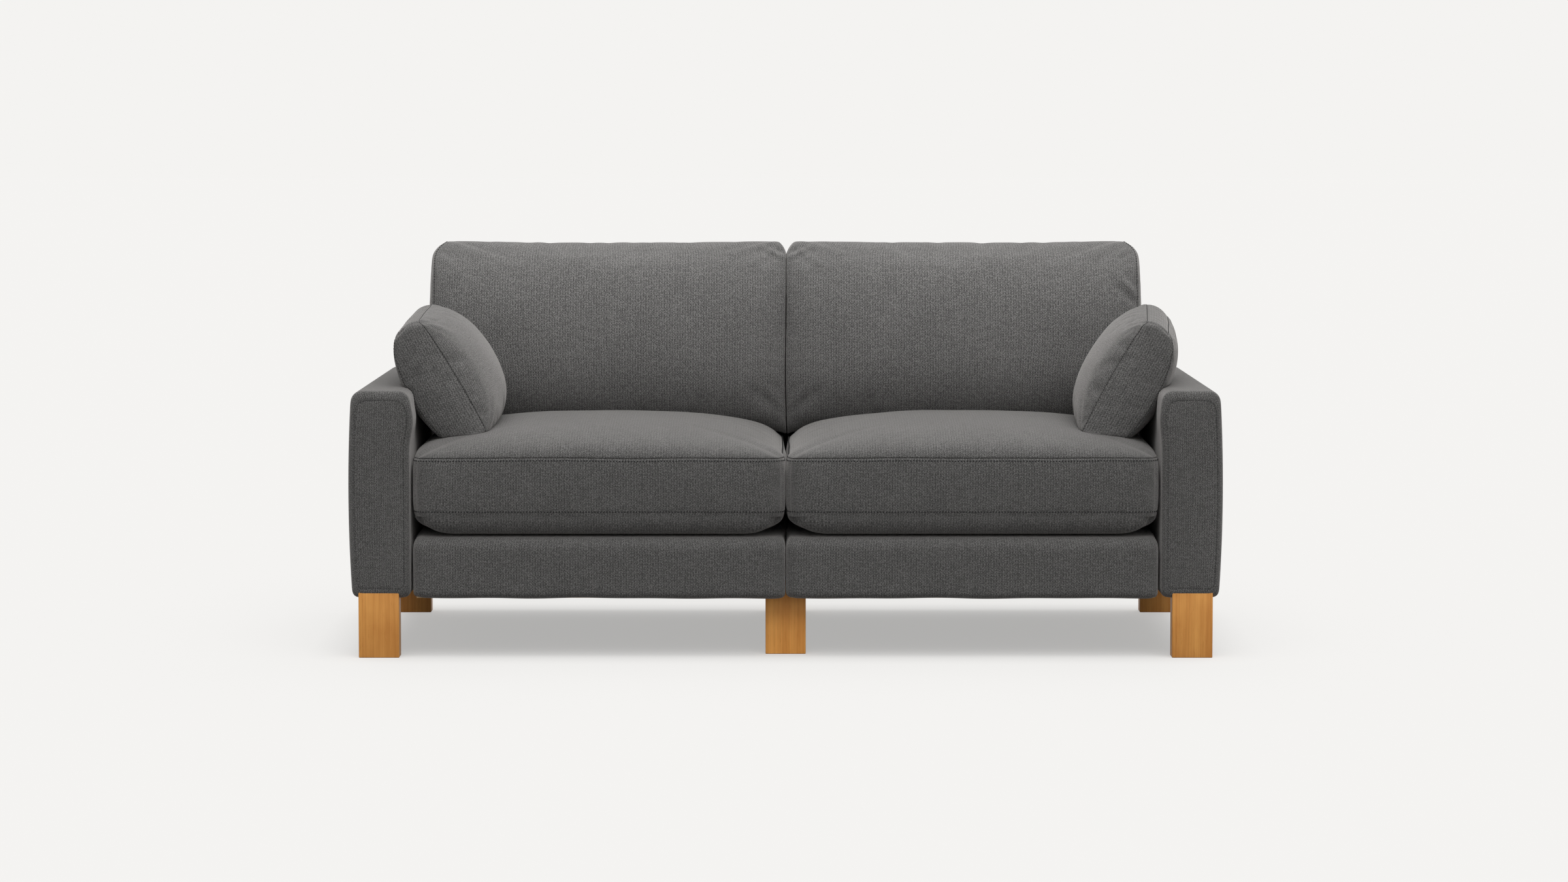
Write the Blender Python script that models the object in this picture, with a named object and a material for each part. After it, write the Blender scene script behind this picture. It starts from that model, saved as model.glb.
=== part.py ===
"""A two-seat sofa: padded arms, seat bases and backs on timber frames, plank legs, and loose
seat cushions, back cushions and arm pillows.

Metres, +Z up. The origin is on the floor under the middle of the sofa. It faces -Y, and +X is
on the right of someone who looks at its front. Left and right in the names are that person's.
"""

import math

import bmesh
import bpy
from mathutils import Euler, Vector

# Sizes of the whole sofa
overall_depth = 0.890
module_width = 0.786
arm_thickness = 0.122
arm_height = 0.5605
leg_height = 0.1255
base_height = 0.127
back_height = 0.7485

# Gaps between pieces, how deep steel is let into timber, and how far a cutter runs past what
# it cuts
fit_gap = 0.0003
hole_gap = 0.0004
module_gap = 0.0006
steel_let_in = 0.001
cut_overrun = 0.020

# Arms
arm_side_crown = 0.007
arm_end_crown = 0.004
arm_side_padding = 0.018
arm_end_padding = 0.018
arm_top_padding = 0.022
arm_end_rounding = 0.014
arm_upright_rounding = 0.012
arm_top_rounding = 0.020
arm_corner_radius = 0.022
arm_foot_radius = 0.012
arm_post_depth = 0.050
arm_top_rail_height = 0.030
arm_bottom_rail_height = 0.095
arm_panel_thickness = 0.009

# Legs and the bolts that hold them
leg_width = 0.085
leg_thickness = 0.045
leg_edge = 0.0015
leg_offset = 0.005
front_leg_setback = 0.006
centre_leg_setback = 0.070
leg_bolt_radius = 0.004
leg_bolt_spacing = 0.045
leg_bolt_in_leg = 0.035
leg_bolt_in_frame = 0.030

# Seat bases
base_front_setback = 0.004
module_rear_setback = 0.005
base_padding = 0.012
rear_padding = 0.020
deck_padding = 0.014
base_plan_radius = 0.012
base_top_rounding = 0.022
base_foot_rounding = 0.012
base_front_rail_thickness = 0.030
base_side_rail_thickness = 0.045
rear_timber_thickness = 0.058
felt_thickness = 0.004
felt_inset = 0.020
dust_cloth_thickness = 0.001
dust_cloth_lap = 0.012

# Springs of a base and the clips that hold them
spring_shares = (0.125, 0.375, 0.625, 0.875)
spring_bends = 15
spring_half_width = 0.024
spring_wire_radius = 0.0018
spring_clip_thickness = 0.0012
spring_clip_width = 0.020
spring_clip_lip = 0.004
spring_end_inset = 0.012

# Bolts that join arms and bases
joint_bolt_shares = (0.22, 0.76)
joint_bolt_height = 0.063
joint_bolt_length = 0.110
joint_bolt_radius = 0.004
joint_bolt_head_radius = 0.008
joint_bolt_head_thickness = 0.005

# Backs
back_module_depth = 0.125
back_side_padding = 0.015
back_top_padding = 0.020
back_edge_rounding = 0.018
back_corner_radius = 0.022
back_rear_crown = 0.005
back_bottom_rail_height = 0.090
back_top_rail_height = 0.050
back_stile_width = 0.045
webbing_thickness = 0.0015
webbing_width = 0.050
webbing_upright_shares = (0.125, 0.375, 0.625, 0.875)
webbing_level_shares = (0.62, 0.84)

# Upright brackets that the backs drop over
bracket_shares = (0.25, 0.75)
bracket_width = 0.040
bracket_thickness = 0.005
bracket_foot = 0.020
bracket_reach = 0.110
bracket_screw_heights = (0.038, 0.078)
bracket_screw_head_radius = 0.006
bracket_screw_head_thickness = 0.003

# Seat cushions
seat_cushion_setback = 0.001
seat_lower_seam = 0.044
seat_boxing = 0.1225
seat_crown = 0.072
seat_seam_inset = 0.004
seat_corner_radius = 0.030

# Back cushions
back_cushion_depth = 0.160
back_cushion_sink = 0.0145
back_cushion_height = 0.418
back_cushion_crown = 0.036
back_cushion_end_crown = 0.010
back_cushion_end_draw = 0.018
back_cushion_top_radius = 0.055
back_cushion_foot_radius = 0.035
back_cushion_shoulder = 0.012
back_cushion_shoulder_rise = 0.080

# Arm pillows
pillow_length = 0.445
pillow_height = 0.272
pillow_boxing = 0.055
pillow_corner_radius = 0.024
pillow_boxing_swell = 0.006
pillow_rear_gap = 0.0297
pillow_rise = 0.012

# How each pillow lies: its outer and inner crowns, its distance in from the arm's inner face
# and its turns about the three axes, in degrees
left_pillow_crowns = (0.062, 0.084)
left_pillow_offset = 0.057
left_pillow_turns = (0.0, -30.4, 0.0)
right_pillow_crowns = (0.071, 0.067)
right_pillow_offset = 0.051
right_pillow_turns = (1.6, 29.2, -3.6)

# Shares that shape the padded forms, from a seam (1) or a rim towards the middle of its panel
crown_exponent_share = 0.42
boxing_shares = (0.25, 0.75)
crown_shares = (1.0, 0.985, 0.945, 0.87, 0.74, 0.56, 0.32, 0.12)
underside_shares = (1.0, 0.992, 0.975, 0.95, 0.915)
face_crown_shares = (0.40, 0.75)
end_panel_shares = (1.0, 0.90, 0.62, 0.30)
back_station_shares = (-1.0, -0.98, -0.92, -0.78, -0.45, 0.0, 0.45, 0.78, 0.92, 0.98, 1.0)
back_crown_exponent_share = 0.5
end_draw_exponent_share = 20.0
shoulder_exponent_share = 6.0
pillow_crown_shares = (1.0, 0.96, 0.88, 0.74, 0.54, 0.28)
pillow_crown_exponent_share = 0.5
inner_radius_share = 0.9

# Counts
round_sides = 8
rounding_steps = 3
corner_steps = 3
cushion_corner_steps = 4
cushion_side_parts = 4
slab_side_parts = 4

# Places worked out from the sizes
front_y = -overall_depth / 2
rear_y = overall_depth / 2
frame_foot = leg_height
base_top = leg_height + base_height
arm_outer_x = module_width + arm_thickness
arm_middle_x = module_width + arm_thickness / 2
arm_leg_x = arm_middle_x + leg_offset
module_inner_x = module_gap / 2
module_outer_x = module_width - module_gap
module_rear_y = rear_y - module_rear_setback
base_front_y = front_y + base_front_setback
back_front_y = module_rear_y - back_module_depth
timber_rear_y = module_rear_y - rear_padding - fit_gap
timber_front_y = timber_rear_y - rear_timber_thickness
cavity_front_y = base_front_y + base_padding
cavity_inner_x = module_inner_x + base_padding
cavity_outer_x = module_outer_x - base_padding
cavity_top = base_top - deck_padding
rail_inner_x = cavity_inner_x + fit_gap
rail_outer_x = cavity_outer_x - fit_gap
rail_front_y = cavity_front_y + fit_gap
felt_top = cavity_top - fit_gap
felt_foot = felt_top - felt_thickness
wire_z = felt_foot - fit_gap - spring_wire_radius
clip_inside = spring_wire_radius + fit_gap
clip_outside = clip_inside + spring_clip_thickness
rail_top = wire_z - clip_inside
spring_first_y = rail_front_y + spring_end_inset
spring_last_y = timber_front_y + spring_end_inset
arm_cavity_inner_x = module_width + arm_side_padding
arm_cavity_outer_x = arm_outer_x - arm_side_padding
arm_cavity_top = arm_height - arm_top_padding
arm_timber_x = (arm_cavity_inner_x + fit_gap, arm_cavity_outer_x - fit_gap)
arm_timber_y = (front_y + arm_end_padding + fit_gap, rear_y - arm_end_padding - fit_gap)
front_leg_y = front_y + front_leg_setback + leg_thickness / 2
centre_leg_y = front_y + centre_leg_setback + leg_thickness / 2
rear_leg_y = (timber_front_y + timber_rear_y) / 2
base_rear_rail_front_y = timber_front_y - fit_gap - steel_let_in
bracket_front_y = timber_front_y - fit_gap - bracket_thickness
joint_bolt_z = frame_foot + joint_bolt_height
joint_bolt_y = [front_y + share * overall_depth for share in joint_bolt_shares]
back_foot = base_top + fit_gap
back_cavity_top = back_height - back_top_padding
back_rail_x = (
    module_inner_x + back_side_padding + fit_gap,
    module_outer_x - back_side_padding - fit_gap,
)
seat_rest = base_top + fit_gap
seat_seam_low = seat_rest + seat_lower_seam
seat_seam_high = seat_seam_low + seat_boxing
back_cushion_foot = seat_seam_high + back_cushion_sink
sides = {"left": -1, "right": 1}


# Looks of the materials: colour, roughness and metallic value

finishes = {
    "fabric": ((0.090, 0.088, 0.086), 0.95, 0.0),
    "cushion_fabric": ((0.100, 0.098, 0.095), 0.95, 0.0),
    "leg_wood": ((0.470, 0.220, 0.070), 0.45, 0.0),
    "frame_wood": ((0.560, 0.400, 0.230), 0.70, 0.0),
    "board": ((0.330, 0.220, 0.130), 0.85, 0.0),
    "steel": ((0.520, 0.520, 0.530), 0.35, 1.0),
    "spring_steel": ((0.300, 0.300, 0.310), 0.40, 1.0),
    "felt": ((0.420, 0.410, 0.390), 1.0, 0.0),
    "webbing": ((0.030, 0.030, 0.032), 0.80, 0.0),
    "dust_cloth": ((0.015, 0.015, 0.016), 0.95, 0.0),
}


def finish(piece, kind):
    """Gives a piece a material of its own in one of the finishes."""
    colour, roughness, metallic = finishes[kind]
    material = bpy.data.materials.new(piece.name + "_" + kind)
    material.use_nodes = True
    shader = material.node_tree.nodes["Principled BSDF"]
    shader.inputs["Base Color"].default_value = (*colour, 1.0)
    shader.inputs["Roughness"].default_value = roughness
    shader.inputs["Metallic"].default_value = metallic
    piece.data.materials.append(material)


def placed(name, data, kind):
    """Puts mesh or curve data in the scene as a named piece of the sofa."""
    piece = bpy.data.objects.new(name, data)
    bpy.context.scene.collection.objects.link(piece)
    piece.parent = bpy.data.objects["sofa"]
    finish(piece, kind)
    return piece


def piece_from(name, shape, kind, smooth=False):
    """Makes a piece from a bmesh, with its faces pointing out."""
    bmesh.ops.recalc_face_normals(shape, faces=shape.faces)
    mesh = bpy.data.meshes.new(name)
    shape.to_mesh(mesh)
    shape.free()
    if smooth:
        mesh.shade_smooth()
        mesh.set_sharp_from_angle(angle=math.radians(35))
    return placed(name, mesh, kind)


def as_helper(piece):
    """Marks a piece as a helper that only joins or cuts the others."""
    piece.hide_render = True
    piece.display_type = "WIRE"
    piece.hide_set(True)
    return piece


def combine(piece, operation, others):
    """Puts other solids to a piece, or takes them away from it."""
    for other in others:
        modifier = piece.modifiers.new(operation.lower() + "_" + other.name, "BOOLEAN")
        modifier.operation = operation
        modifier.solver = "EXACT"
        modifier.object = other


def cut(piece, *cutters):
    """Takes cutters away from a piece."""
    combine(piece, "DIFFERENCE", cutters)


def join(piece, *carried):
    """Joins what a piece carries to it, so that they are one body."""
    combine(piece, "UNION", carried)


def add_block(shape, x, y, z):
    """Adds a box to a bmesh, from its limits along each axis."""
    size = Vector((x[1] - x[0], y[1] - y[0], z[1] - z[0]))
    middle = Vector((x[0] + x[1], y[0] + y[1], z[0] + z[1])) / 2
    made = bmesh.ops.create_cube(shape, size=1)["verts"]
    bmesh.ops.scale(shape, vec=size, verts=made)
    bmesh.ops.translate(shape, vec=middle, verts=made)


def blocks(name, kind, *limits):
    """A piece, or a group of like pieces, made of boxes."""
    shape = bmesh.new()
    for x, y, z in limits:
        add_block(shape, x, y, z)
    return piece_from(name, shape, kind)


def mirrored(limits, side):
    """Limits along X for the right-hand side of the sofa, or turned over for its left."""
    return tuple(sorted(side * limit for limit in limits))


def rounded_outline(half_u, half_v, radii, steps, parts=1):
    """Points round a rectangle with rounded corners, anticlockwise from its right-hand side.

    The radii are those of the top right, top left, bottom left and bottom right corners. Each
    corner has a number of steps, and each side is split into a number of parts."""
    arcs = []
    for (sign_u, sign_v, start), radius in zip(
        ((1, 1, 0), (-1, 1, 90), (-1, -1, 180), (1, -1, 270)), radii
    ):
        arc = []
        for step in range(steps + 1):
            angle = math.radians(start + 90 * step / steps)
            u = sign_u * (half_u - radius) + radius * math.cos(angle)
            v = sign_v * (half_v - radius) + radius * math.sin(angle)
            arc.append((u, v))
        arcs.append(arc)
    points = []
    for arc, following in zip(arcs, arcs[1:] + arcs[:1]):
        points += arc
        (u0, v0), (u1, v1) = arc[-1], following[0]
        for step in range(1, parts):
            share = step / parts
            points.append((u0 + share * (u1 - u0), v0 + share * (v1 - v0)))
    return points


def circle(radius):
    """Points round a small round piece."""
    turn = 2 * math.pi / round_sides
    return [
        (radius * math.cos(turn * step), radius * math.sin(turn * step))
        for step in range(round_sides)
    ]


def ring(outline, along, level, middle=(0, 0)):
    """An outline set square to an axis, at a level on it, round a middle point."""
    u0, v0 = middle
    if along == "X":
        return [Vector((level, u0 + u, v0 + v)) for u, v in outline]
    if along == "Y":
        return [Vector((u0 + u, level, v0 + v)) for u, v in outline]
    return [Vector((u0 + u, v0 + v, level)) for u, v in outline]


def add_loft(shape, rings):
    """Adds a closed body through rings that have the same number of points."""
    loops = []
    for points in rings:
        verts = [shape.verts.new(point) for point in points]
        pairs = zip(verts, verts[1:] + verts[:1])
        loops.append([shape.edges.new(pair) for pair in pairs])
    for lower, upper in zip(loops, loops[1:]):
        bmesh.ops.bridge_loops(shape, edges=lower + upper)
    bmesh.ops.contextual_create(shape, geom=loops[0])
    bmesh.ops.contextual_create(shape, geom=loops[-1])


def add_turned(shape, along, middle, stations):
    """Adds a round body along an axis; each station is a level and a radius."""
    add_loft(shape, [ring(circle(r), along, level, middle) for level, r in stations])


def padded_slab(name, along, levels, u, v, roundings, radii, crowns=(0, 0), barrel=(0, 0)):
    """An upholstered slab between two levels of an axis, its edges rounded.

    u and v are its limits on the other two axes. roundings are how far the rounding of its rims
    reaches along the axis, along u and along v. crowns are how far its two faces swell past
    their levels, and barrel how far its two sides at the limits of u do."""
    deep, in_u, in_v = roundings
    half_u, half_v = (u[1] - u[0]) / 2, (v[1] - v[0]) / 2
    middle = ((u[0] + u[1]) / 2, (v[0] + v[1]) / 2)

    def outline(inset, share=1):
        points = rounded_outline(
            (half_u - in_u * inset) * share,
            (half_v - in_v * inset) * share,
            [radius * share for radius in radii],
            corner_steps,
            side_parts,
        )
        return [
            (x + (barrel[1] if x > 0 else -barrel[0]) * share * (1 - (y / half_v) ** 2), y)
            for x, y in points
        ]

    side_parts = slab_side_parts if any(barrel) else 1
    rings = []
    for level, outward, crown in ((levels[0], -1, crowns[0]), (levels[1], 1, crowns[1])):
        end = []
        for share in face_crown_shares if crown else ():
            bulge = crown * (1 - (share - face_crown_shares[0]) ** 2)
            end.append(ring(outline(1, share), along, level + outward * bulge, middle))
        for step in range(rounding_steps + 1):
            angle = math.radians(90 * step / rounding_steps)
            depth = deep * (1 - math.cos(angle))
            end.append(ring(outline(1 - math.sin(angle)), along, level - outward * depth, middle))
        rings += end if outward < 0 else end[::-1]
    shape = bmesh.new()
    add_loft(shape, rings)
    return piece_from(name, shape, "fabric", smooth=True)


def soft_piece(name, rings):
    """A cushion or pillow from its rings, or its press, split into triangles the same way."""
    shape = bmesh.new()
    add_loft(shape, rings)
    bmesh.ops.triangulate(shape, faces=shape.faces, quad_method="FIXED")
    return piece_from(name, shape, "cushion_fabric", smooth=True)


def crown_at(u, v, exponent):
    """How far a panel swells at a place on it, as a share: u and v are 0 in its middle and 1 at
    its seams."""
    return (max(0, 1 - u * u) * max(0, 1 - v * v)) ** exponent


def panel_outline(half_u, half_v, share, radius, steps):
    """An outline part of the way in from a panel's seam, with rounder corners further in."""
    widest = min(half_u, half_v)
    softened = radius + (1 - share) * inner_radius_share * widest
    softened = min(softened, inner_radius_share * share * widest)
    return rounded_outline(
        half_u * share, half_v * share, [softened] * 4, steps, cushion_side_parts
    )


def legs():
    """Six plank legs: three across the front, the middle one set back, and three at the rear.
    Each carries the two bolts that hold it up in the frame, whose holes this gives back."""
    places = {
        "leg_front_left": (-arm_leg_x, front_leg_y),
        "leg_front_centre": (0, centre_leg_y),
        "leg_front_right": (arm_leg_x, front_leg_y),
        "leg_rear_left": (-arm_leg_x, rear_leg_y),
        "leg_rear_centre": (0, rear_leg_y),
        "leg_rear_right": (arm_leg_x, rear_leg_y),
    }
    high = frame_foot + leg_bolt_in_frame
    holes = bmesh.new()
    for name, (x, y) in places.items():
        leg = blocks(
            name,
            "leg_wood",
            (
                (x - leg_width / 2, x + leg_width / 2),
                (y - leg_thickness / 2, y + leg_thickness / 2),
                (0, leg_height - fit_gap),
            ),
        )
        edge = leg.modifiers.new("eased_edges", "BEVEL")
        edge.width = leg_edge
        edge.segments = 1
        bolts = bmesh.new()
        for shift in (-leg_bolt_spacing / 2, leg_bolt_spacing / 2):
            middle = (x + shift, y)
            radius = leg_bolt_radius
            stations = ((frame_foot - leg_bolt_in_leg, radius), (high, radius))
            add_turned(bolts, "Z", middle, stations)
            radius += hole_gap
            stations = ((frame_foot - cut_overrun, radius), (high + fit_gap, radius))
            add_turned(holes, "Z", middle, stations)
        join(leg, as_helper(piece_from(name + "_bolts", bolts, "steel")))
    return as_helper(piece_from("leg_bolt_holes", holes, "steel"))


def joint(name, wall, outward):
    """Two bolts that a side rail carries out into the neighbouring arm or base, and the holes
    that they need there. wall is the face of the rail that their heads lie on."""
    bolts, holes = bmesh.new(), bmesh.new()
    tip = wall + outward * joint_bolt_length
    for y in joint_bolt_y:
        stations = (
            (wall - outward * joint_bolt_head_thickness, joint_bolt_head_radius),
            (wall + outward * steel_let_in, joint_bolt_head_radius),
            (wall + outward * steel_let_in, joint_bolt_radius),
            (tip, joint_bolt_radius),
        )
        add_turned(bolts, "X", (y, joint_bolt_z), stations)
        radius = joint_bolt_radius + hole_gap
        stations = ((wall, radius), (tip + outward * fit_gap, radius))
        add_turned(holes, "X", (y, joint_bolt_z), stations)
    return (
        as_helper(piece_from(name + "_bolts", bolts, "steel")),
        as_helper(piece_from(name + "_holes", holes, "steel")),
    )


def back_brackets(name, side):
    """The two steel bars of a base that its back drops over, the heads of their screws, and
    the slots that they need in the base's upholstery."""
    y = (bracket_front_y, bracket_front_y + bracket_thickness)
    z = (frame_foot + bracket_foot, base_top + bracket_reach)
    bars, slots = [], []
    heads = bmesh.new()
    for share in bracket_shares:
        middle = side * (module_inner_x + share * (module_outer_x - module_inner_x))
        x = (middle - bracket_width / 2, middle + bracket_width / 2)
        bars.append((x, y, z))
        slots.append(
            (
                (x[0] - fit_gap, x[1] + fit_gap),
                (y[0] - fit_gap, y[1] + fit_gap),
                (cavity_top - cut_overrun, base_top + cut_overrun),
            )
        )
        for height in bracket_screw_heights:
            stations = (
                (y[0] - bracket_screw_head_thickness, bracket_screw_head_radius),
                (y[1] - bracket_thickness / 2, bracket_screw_head_radius),
            )
            add_turned(heads, "Y", (middle, frame_foot + height), stations)
    return (
        as_helper(blocks("back_brackets_" + name, "steel", *bars)),
        as_helper(piece_from("bracket_screws_" + name, heads, "steel")),
        as_helper(blocks("bracket_slots_" + name, "steel", *slots)),
    )


def spring_clips(name, side, y, inward):
    """The clips on a rail that hold the springs' ends, bent over the wire."""
    clips = bmesh.new()
    profile = (
        (-clip_outside, -clip_inside - steel_let_in),
        (-clip_inside, -clip_inside - steel_let_in),
        (-clip_inside, clip_inside),
        (spring_clip_lip, clip_inside),
        (spring_clip_lip, clip_outside),
        (-clip_outside, clip_outside),
    )
    outline = [(inward * u, v) for u, v in profile]
    for share in spring_shares:
        x = side * (rail_inner_x + share * (rail_outer_x - rail_inner_x))
        ends = (x - spring_clip_width / 2, x + spring_clip_width / 2)
        add_loft(clips, [ring(outline, "X", end, (y, wire_z)) for end in ends])
    return as_helper(piece_from(name + "_clips", clips, "steel"))


def springs(name, side):
    """Sinuous springs that run from the front rail to the rear rail of a base."""
    pitch = (spring_last_y - spring_first_y) / spring_bends
    for number, share in enumerate(spring_shares, start=1):
        x = side * (rail_inner_x + share * (rail_outer_x - rail_inner_x))
        places = []
        for bend in range(spring_bends + 1):
            reach = spring_half_width if bend % 2 else -spring_half_width
            y = spring_first_y + bend * pitch
            places += [(x + reach, y, wire_z), (x - reach, y, wire_z)]
        wire = bpy.data.curves.new(f"seat_spring_{name}_{number}", "CURVE")
        wire.dimensions = "3D"
        wire.bevel_depth = spring_wire_radius
        wire.bevel_resolution = 0
        wire.use_fill_caps = True
        spline = wire.splines.new("POLY")
        spline.points.add(len(places) - 1)
        for point, place in zip(spline.points, places):
            point.co = (*place, 1)
        placed(wire.name, wire, "spring_steel")


def base_frame(name, side, leg_holes, arm_joint, base_joint):
    """The four rails of a seat base, with the clips, bars and bolts that they carry."""
    front_rail_y = (rail_front_y, rail_front_y + base_front_rail_thickness)
    rear_rail_y = (base_rear_rail_front_y, timber_rear_y)
    side_rail_y = (front_rail_y[1] + fit_gap, rear_rail_y[0] - fit_gap)
    rail_z = (frame_foot, rail_top)
    across = mirrored((rail_inner_x, rail_outer_x), side)
    inner = mirrored((rail_inner_x, rail_inner_x + base_side_rail_thickness), side)
    outer = mirrored((rail_outer_x - base_side_rail_thickness, rail_outer_x), side)
    front = blocks("base_front_rail_" + name, "frame_wood", (across, front_rail_y, rail_z))
    rear = blocks("base_rear_rail_" + name, "frame_wood", (across, rear_rail_y, rail_z))
    inner = blocks("base_inner_rail_" + name, "frame_wood", (inner, side_rail_y, rail_z))
    outer = blocks("base_outer_rail_" + name, "frame_wood", (outer, side_rail_y, rail_z))
    bars, screws, slots = back_brackets(name, side)
    join(front, spring_clips(front.name, side, spring_first_y, 1))
    join(rear, spring_clips(rear.name, side, spring_last_y, -1), bars, screws)
    join(outer, arm_joint[0])
    if side < 0:
        join(inner, base_joint[0])
    else:
        cut(inner, base_joint[1])
    cut(inner, leg_holes)
    cut(rear, leg_holes)
    return slots


def seat_base(name, side, leg_holes, arm_joint, base_joint):
    """One seat base: its frame, springs, felt, dust cloth and upholstery shell."""
    slots = base_frame(name, side, leg_holes, arm_joint, base_joint)
    springs(name, side)
    felt_x = mirrored((rail_inner_x + felt_inset, rail_outer_x - felt_inset), side)
    felt_y = (rail_front_y + felt_inset, bracket_front_y - fit_gap)
    blocks("seat_felt_" + name, "felt", (felt_x, felt_y, (felt_foot, felt_top)))
    cloth_inner_x = max(leg_width / 2, rail_inner_x) + dust_cloth_lap
    cloth_x = mirrored((cloth_inner_x, rail_outer_x - dust_cloth_lap), side)
    cloth_y = (rail_front_y + dust_cloth_lap, timber_rear_y - dust_cloth_lap)
    cloth_top = frame_foot - fit_gap
    cloth_z = (cloth_top - dust_cloth_thickness, cloth_top)
    blocks("dust_cover_" + name, "dust_cloth", (cloth_x, cloth_y, cloth_z))
    cavity = blocks(
        "base_cavity_" + name,
        "fabric",
        (
            mirrored((cavity_inner_x, cavity_outer_x), side),
            (cavity_front_y, timber_rear_y + fit_gap),
            (frame_foot - cut_overrun, cavity_top),
        ),
    )
    shell = base_shell("base_upholstery_" + name, side)
    cut(shell, as_helper(cavity), arm_joint[1], base_joint[1], slots)


def base_shell(name, side):
    """The padded box of a seat base, rounder along its top than along its foot."""
    x = mirrored((module_inner_x, module_outer_x), side)
    middle = ((x[0] + x[1]) / 2, (base_front_y + module_rear_y) / 2)
    half_x = (x[1] - x[0]) / 2
    half_y = (module_rear_y - base_front_y) / 2
    rings = []
    for rounding, outward in ((base_foot_rounding, 1), (base_top_rounding, -1)):
        part = []
        for step in range(rounding_steps + 1):
            angle = math.radians(90 * step / rounding_steps)
            inset = rounding * (1 - math.sin(angle))
            rise = rounding * (1 - math.cos(angle))
            level = leg_height + rise if outward > 0 else base_top - rise
            outline = rounded_outline(
                half_x - inset, half_y - inset, [base_plan_radius] * 4, corner_steps
            )
            part.append(ring(outline, "Z", level, middle))
        rings += part if outward > 0 else part[::-1]
    shape = bmesh.new()
    add_loft(shape, rings)
    return piece_from(name, shape, "fabric", smooth=True)


def arm_form(name, side, grow=0):
    """The outer form of an arm, its outer side swelled along its whole length; grow makes it a
    little larger all round, for cutting."""
    return padded_slab(
        name,
        "Y",
        (front_y + arm_end_crown - grow, rear_y - arm_end_crown + grow),
        mirrored((module_width - grow, arm_outer_x + grow), side),
        (leg_height - grow, arm_height + grow),
        (arm_end_rounding, arm_upright_rounding, arm_top_rounding),
        (arm_corner_radius, arm_corner_radius, arm_foot_radius, arm_foot_radius),
        crowns=(arm_end_crown, arm_end_crown),
        barrel=(0, arm_side_crown) if side > 0 else (arm_side_crown, 0),
    )


def arm(name, side, leg_holes, joint_holes):
    """One arm: posts, rails and a thin panel inside a padded shell."""
    x = mirrored(arm_timber_x, side)
    top = arm_cavity_top - fit_gap
    rail_y = arm_timber_y
    bottom_rail_z = (frame_foot, frame_foot + arm_bottom_rail_height)
    top_rail_z = (top - arm_top_rail_height, top)
    post_z = (bottom_rail_z[1] + fit_gap, top_rail_z[0] - fit_gap)
    front_post_y = (rail_y[0], rail_y[0] + arm_post_depth)
    rear_post_y = (rail_y[1] - arm_post_depth, rail_y[1])
    bottom_rail = blocks("arm_bottom_rail_" + name, "frame_wood", (x, rail_y, bottom_rail_z))
    cut(bottom_rail, leg_holes, joint_holes)
    blocks("arm_top_rail_" + name, "frame_wood", (x, rail_y, top_rail_z))
    blocks("arm_front_post_" + name, "frame_wood", (x, front_post_y, post_z))
    blocks("arm_rear_post_" + name, "frame_wood", (x, rear_post_y, post_z))
    panel_x = mirrored(
        (
            arm_middle_x - arm_panel_thickness / 2,
            arm_middle_x + arm_panel_thickness / 2,
        ),
        side,
    )
    panel_y = (front_post_y[1] + fit_gap, rear_post_y[0] - fit_gap)
    blocks("arm_panel_" + name, "board", (panel_x, panel_y, post_z))
    cavity = blocks(
        "arm_cavity_" + name,
        "fabric",
        (
            mirrored((arm_cavity_inner_x, arm_cavity_outer_x), side),
            (rail_y[0] - fit_gap, rail_y[1] + fit_gap),
            (leg_height - cut_overrun, arm_cavity_top),
        ),
    )
    cut(arm_form("arm_upholstery_" + name, side), as_helper(cavity), joint_holes)


def back(name, side):
    """One back: a timber frame with webbing in a padded shell, open at its foot."""
    x = mirrored(back_rail_x, side)
    y = (timber_front_y, timber_rear_y)
    top = back_cavity_top - fit_gap
    bottom_z = (back_foot, back_foot + back_bottom_rail_height)
    top_z = (top - back_top_rail_height, top)
    stile_z = (bottom_z[1] + fit_gap, top_z[0] - fit_gap)
    inner = mirrored((back_rail_x[0], back_rail_x[0] + back_stile_width), side)
    outer = mirrored((back_rail_x[1] - back_stile_width, back_rail_x[1]), side)
    blocks("back_bottom_rail_" + name, "frame_wood", (x, y, bottom_z))
    blocks("back_top_rail_" + name, "frame_wood", (x, y, top_z))
    blocks("back_inner_stile_" + name, "frame_wood", (inner, y, stile_z))
    blocks("back_outer_stile_" + name, "frame_wood", (outer, y, stile_z))
    width = back_rail_x[1] - back_rail_x[0]
    upright_y = (timber_front_y - fit_gap - webbing_thickness, timber_front_y - fit_gap)
    level_y = tuple(limit - webbing_thickness / 2 for limit in upright_y)
    uprights, levels = [], []
    for share in webbing_upright_shares:
        middle = back_rail_x[0] + share * width
        limits = (middle - webbing_width / 2, middle + webbing_width / 2)
        uprights.append((mirrored(limits, side), upright_y, (bottom_z[0], top)))
    for share in webbing_level_shares:
        middle = back_foot + share * (top - back_foot)
        limits = (middle - webbing_width / 2, middle + webbing_width / 2)
        levels.append((x, level_y, limits))
    webbing = blocks("back_webbing_" + name, "webbing", *uprights)
    join(webbing, as_helper(blocks("level_webbing_" + name, "webbing", *levels)))
    shell = padded_slab(
        "back_upholstery_" + name,
        "Y",
        (back_front_y, module_rear_y - back_rear_crown),
        mirrored((module_inner_x, module_outer_x), side),
        (back_foot, back_height),
        (back_edge_rounding, back_edge_rounding, back_edge_rounding),
        [back_corner_radius] * 4,
        (0, back_rear_crown),
    )
    cavity = blocks(
        "back_cavity_" + name,
        "fabric",
        (
            mirrored((back_rail_x[0] - fit_gap, back_rail_x[1] + fit_gap), side),
            (bracket_front_y - fit_gap, timber_rear_y + fit_gap),
            (back_foot - cut_overrun, back_cavity_top),
        ),
    )
    cut(shell, as_helper(cavity))


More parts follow.
